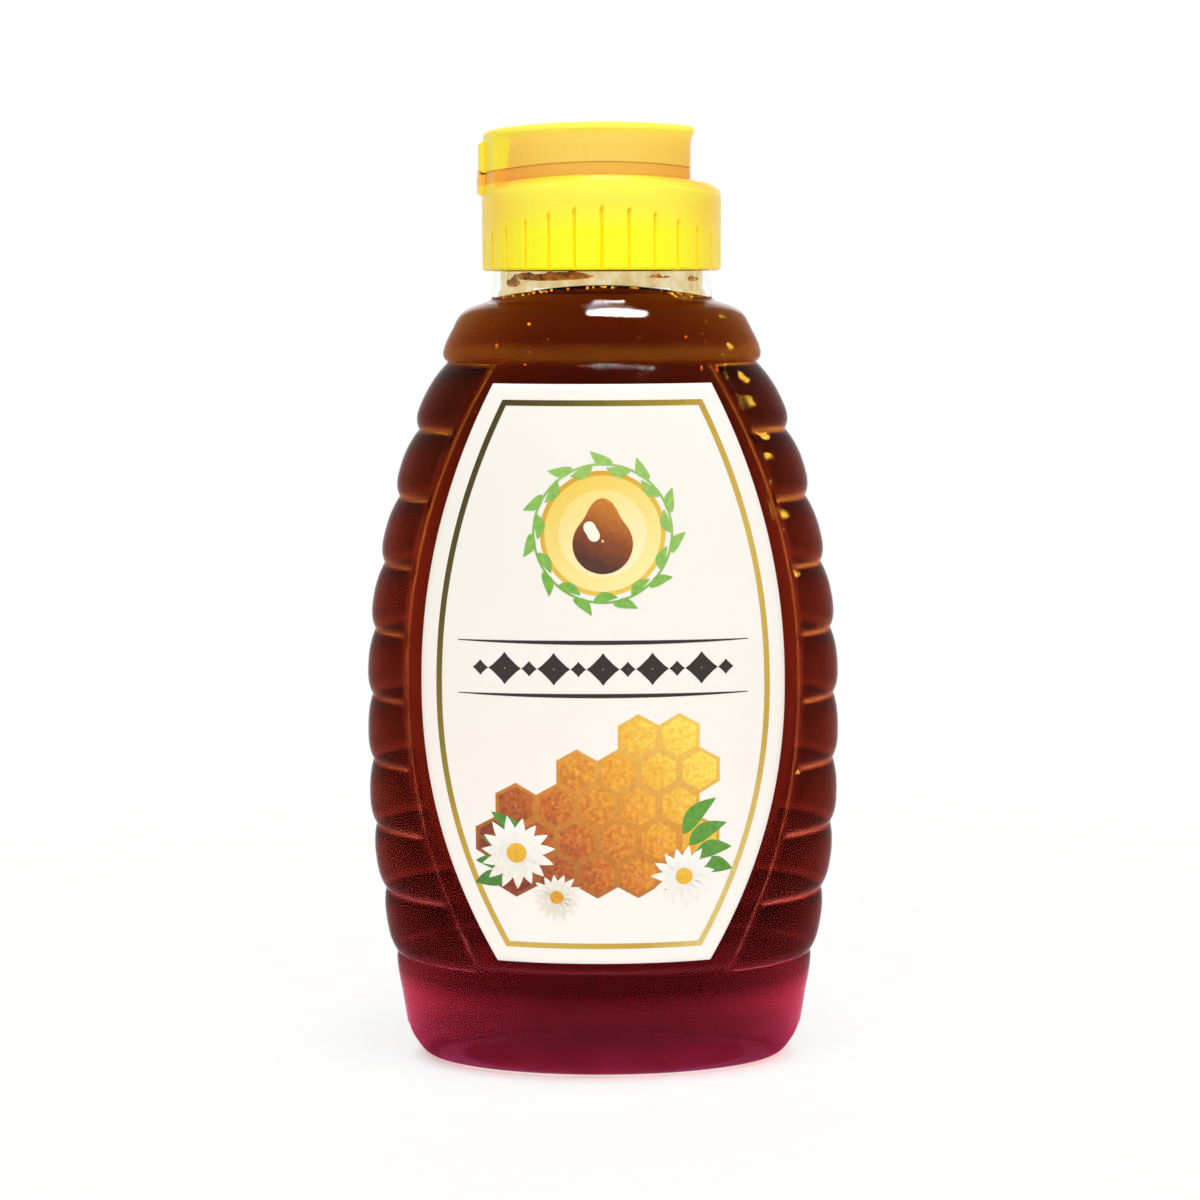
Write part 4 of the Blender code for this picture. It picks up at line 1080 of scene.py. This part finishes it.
def make_stage():
    """White world and paper floor. Both are full white to the camera, through the clear pieces and in
    reflections. The world lights the object at half that. Near the bottle the matt paper shows too,
    most of all in a thin rim round the foot, as its contact shadow."""
    world = bpy.data.worlds.new("studio_air")
    bpy.context.scene.world = world
    world.use_nodes = True
    tree = world.node_tree
    sky = tree.nodes["Background"]
    sky.inputs["Color"].default_value = (1.0, 1.0, 1.0, 1.0)
    seen = seen_rays(tree)
    add_node(tree, "MapRange", {"To Min": 0.5, "Value": seen}, into=(sky, "Strength"))

    size = 3000.0
    points = np.array([(-size, -size, 0), (size, -size, 0), (size, size, 0), (-size, size, 0)], float)
    material, tree, shader, place = new_material(
        "white_paper_sweep", {"Base Color": to_linear("F4F4F2"), "Roughness": 0.8},
    )
    glow = add_node(tree, "Emission", {"Color": (1.0, 1.0, 1.0, 1.0), "Strength": 1.0})
    seen = seen_rays(tree)
    away = add_node(tree, "VectorMath", {0: place}, "LENGTH")
    far = add_node(
        tree, "MapRange",
        {"From Min": 80 * MM, "From Max": 320 * MM, "To Min": 0.80, "Value": (away, "Value")},
    )
    squeezed = add_node(
        tree, "VectorMath", {0: place, 1: (1 / (SHADOW_A * MM), 1 / (SHADOW_B * MM), 0.0)}, "MULTIPLY",
    )
    foot = add_node(tree, "VectorMath", {0: squeezed}, "LENGTH")
    beside = add_node(
        tree, "MapRange", {"From Min": 0.96, "From Max": 1.06, "To Min": 0.45, "Value": (foot, "Value")},
    )
    share = add_node(tree, "Math", {0: seen, 1: far}, "MULTIPLY")
    share = add_node(tree, "Math", {0: share, 1: beside}, "MULTIPLY")
    output = tree.nodes["Material Output"]
    add_node(tree, "MixShader", {0: share, 1: (shader, "BSDF"), 2: glow}, into=(output, "Surface"))
    floor = make_mesh("paper_sweep", points, [np.array([[0, 1, 2, 3]])], material, smooth=False)


def add_lamp(name, place, target, size, watts, color=(1.0, 1.0, 1.0), shape="RECTANGLE"):
    """Area lamp at a place, turned to a target, with its width and height, all in metres."""
    lamp = bpy.data.lights.new(name, "AREA")
    lamp.shape = shape
    lamp.size, lamp.size_y = size
    lamp.energy = watts
    lamp.color = color
    holder = bpy.data.objects.new(name, lamp)
    bpy.context.scene.collection.objects.link(holder)
    holder.location = place
    way = Vector(target) - Vector(place)
    holder.rotation_euler = way.to_track_quat("-Z", "Y").to_euler()
    return holder


def make_lights():
    """Soft boxes above, beside and behind. Those of the second list only show as reflections in the
    clear wall: the bright oval on its shoulder and the glints on the rings at the right. The front
    fill only lights, so none of them upsets the colours."""
    warm, gold = (1.0, 0.82, 0.62), (1.0, 0.52, 0.05)
    add_lamp("overhead_box", (0.04, -0.12, 0.95), (0, 0, 0.12), (0.36, 0.20), 4.0)
    add_lamp("rear_box", (0.0, 0.8, 0.5), (0, 0, 0.08), (0.6, 0.5), 1.0)
    for lamp in (
        add_lamp("left_box", (-0.85, 0.22, 0.32), (0, 0, 0.08), (0.20, 0.5), 0.6, warm),
        add_lamp("right_strip", (0.72, 0.50, 0.30), (0, 0, 0.08), (0.04, 0.5), 0.5, gold),
        add_lamp("front_fill", (0.1, -1.0, 0.45), (0, 0, 0.09), (0.8, 0.6), 3.4),
    ):
        lamp.visible_glossy = False
    wall_only = bpy.data.collections.new("clear_wall_only")
    wall_only.objects.link(bpy.data.objects["bottle_skin"])
    for lamp in (
        add_lamp("overhead_oval", (0.17, -0.62, 0.90), (0, 0, 0.14), (0.70, 0.60), 900.0, shape="ELLIPSE"),
        add_lamp("right_glint_low", (0.82, -0.12, 0.20), (0, 0, 0.08), (0.10, 0.07), 3.2, gold),
        add_lamp("right_glint_middle", (0.85, 0.12, 0.42), (0, 0, 0.08), (0.12, 0.10), 5.5, gold),
        add_lamp("right_glint_high", (0.74, 0.36, 0.62), (0, 0, 0.10), (0.16, 0.10), 5.5, gold),
    ):
        lamp.visible_diffuse = False
        lamp.visible_transmission = False
        lamp.light_linking.receiver_collection = wall_only


def make_camera():
    """The photo's camera, fitted to the ellipses of the foot, the grooves and the closure: 450 mm in
    front and 141.9 mm up, with a focal length of 2471 px in the 1200 px frame, or 74.1 mm on 36 mm."""
    camera = bpy.data.cameras.new("photo_camera")
    camera.lens, camera.sensor_width = 74.1, 36.0
    camera.clip_start = 0.01
    holder = bpy.data.objects.new("photo_camera", camera)
    bpy.context.scene.collection.objects.link(holder)
    pitch, roll = math.radians(90 - 7.15), math.radians(-0.2)
    turned = Matrix.Rotation(pitch, 4, "X") @ Matrix.Rotation(roll, 4, "Z")
    holder.matrix_world = Matrix.Translation((-0.0005, -0.450, 0.1419)) @ turned
    bpy.context.scene.camera = holder


make_bottle_skin()
make_honey(honey_filling())
make_residue(dried_streak())
make_bubbles()
make_label_film()
make_label_art()
make_closure()
make_stage()
make_lights()
make_camera()
bpy.context.scene.view_settings.view_transform = "Standard"
bpy.context.view_layer.update()
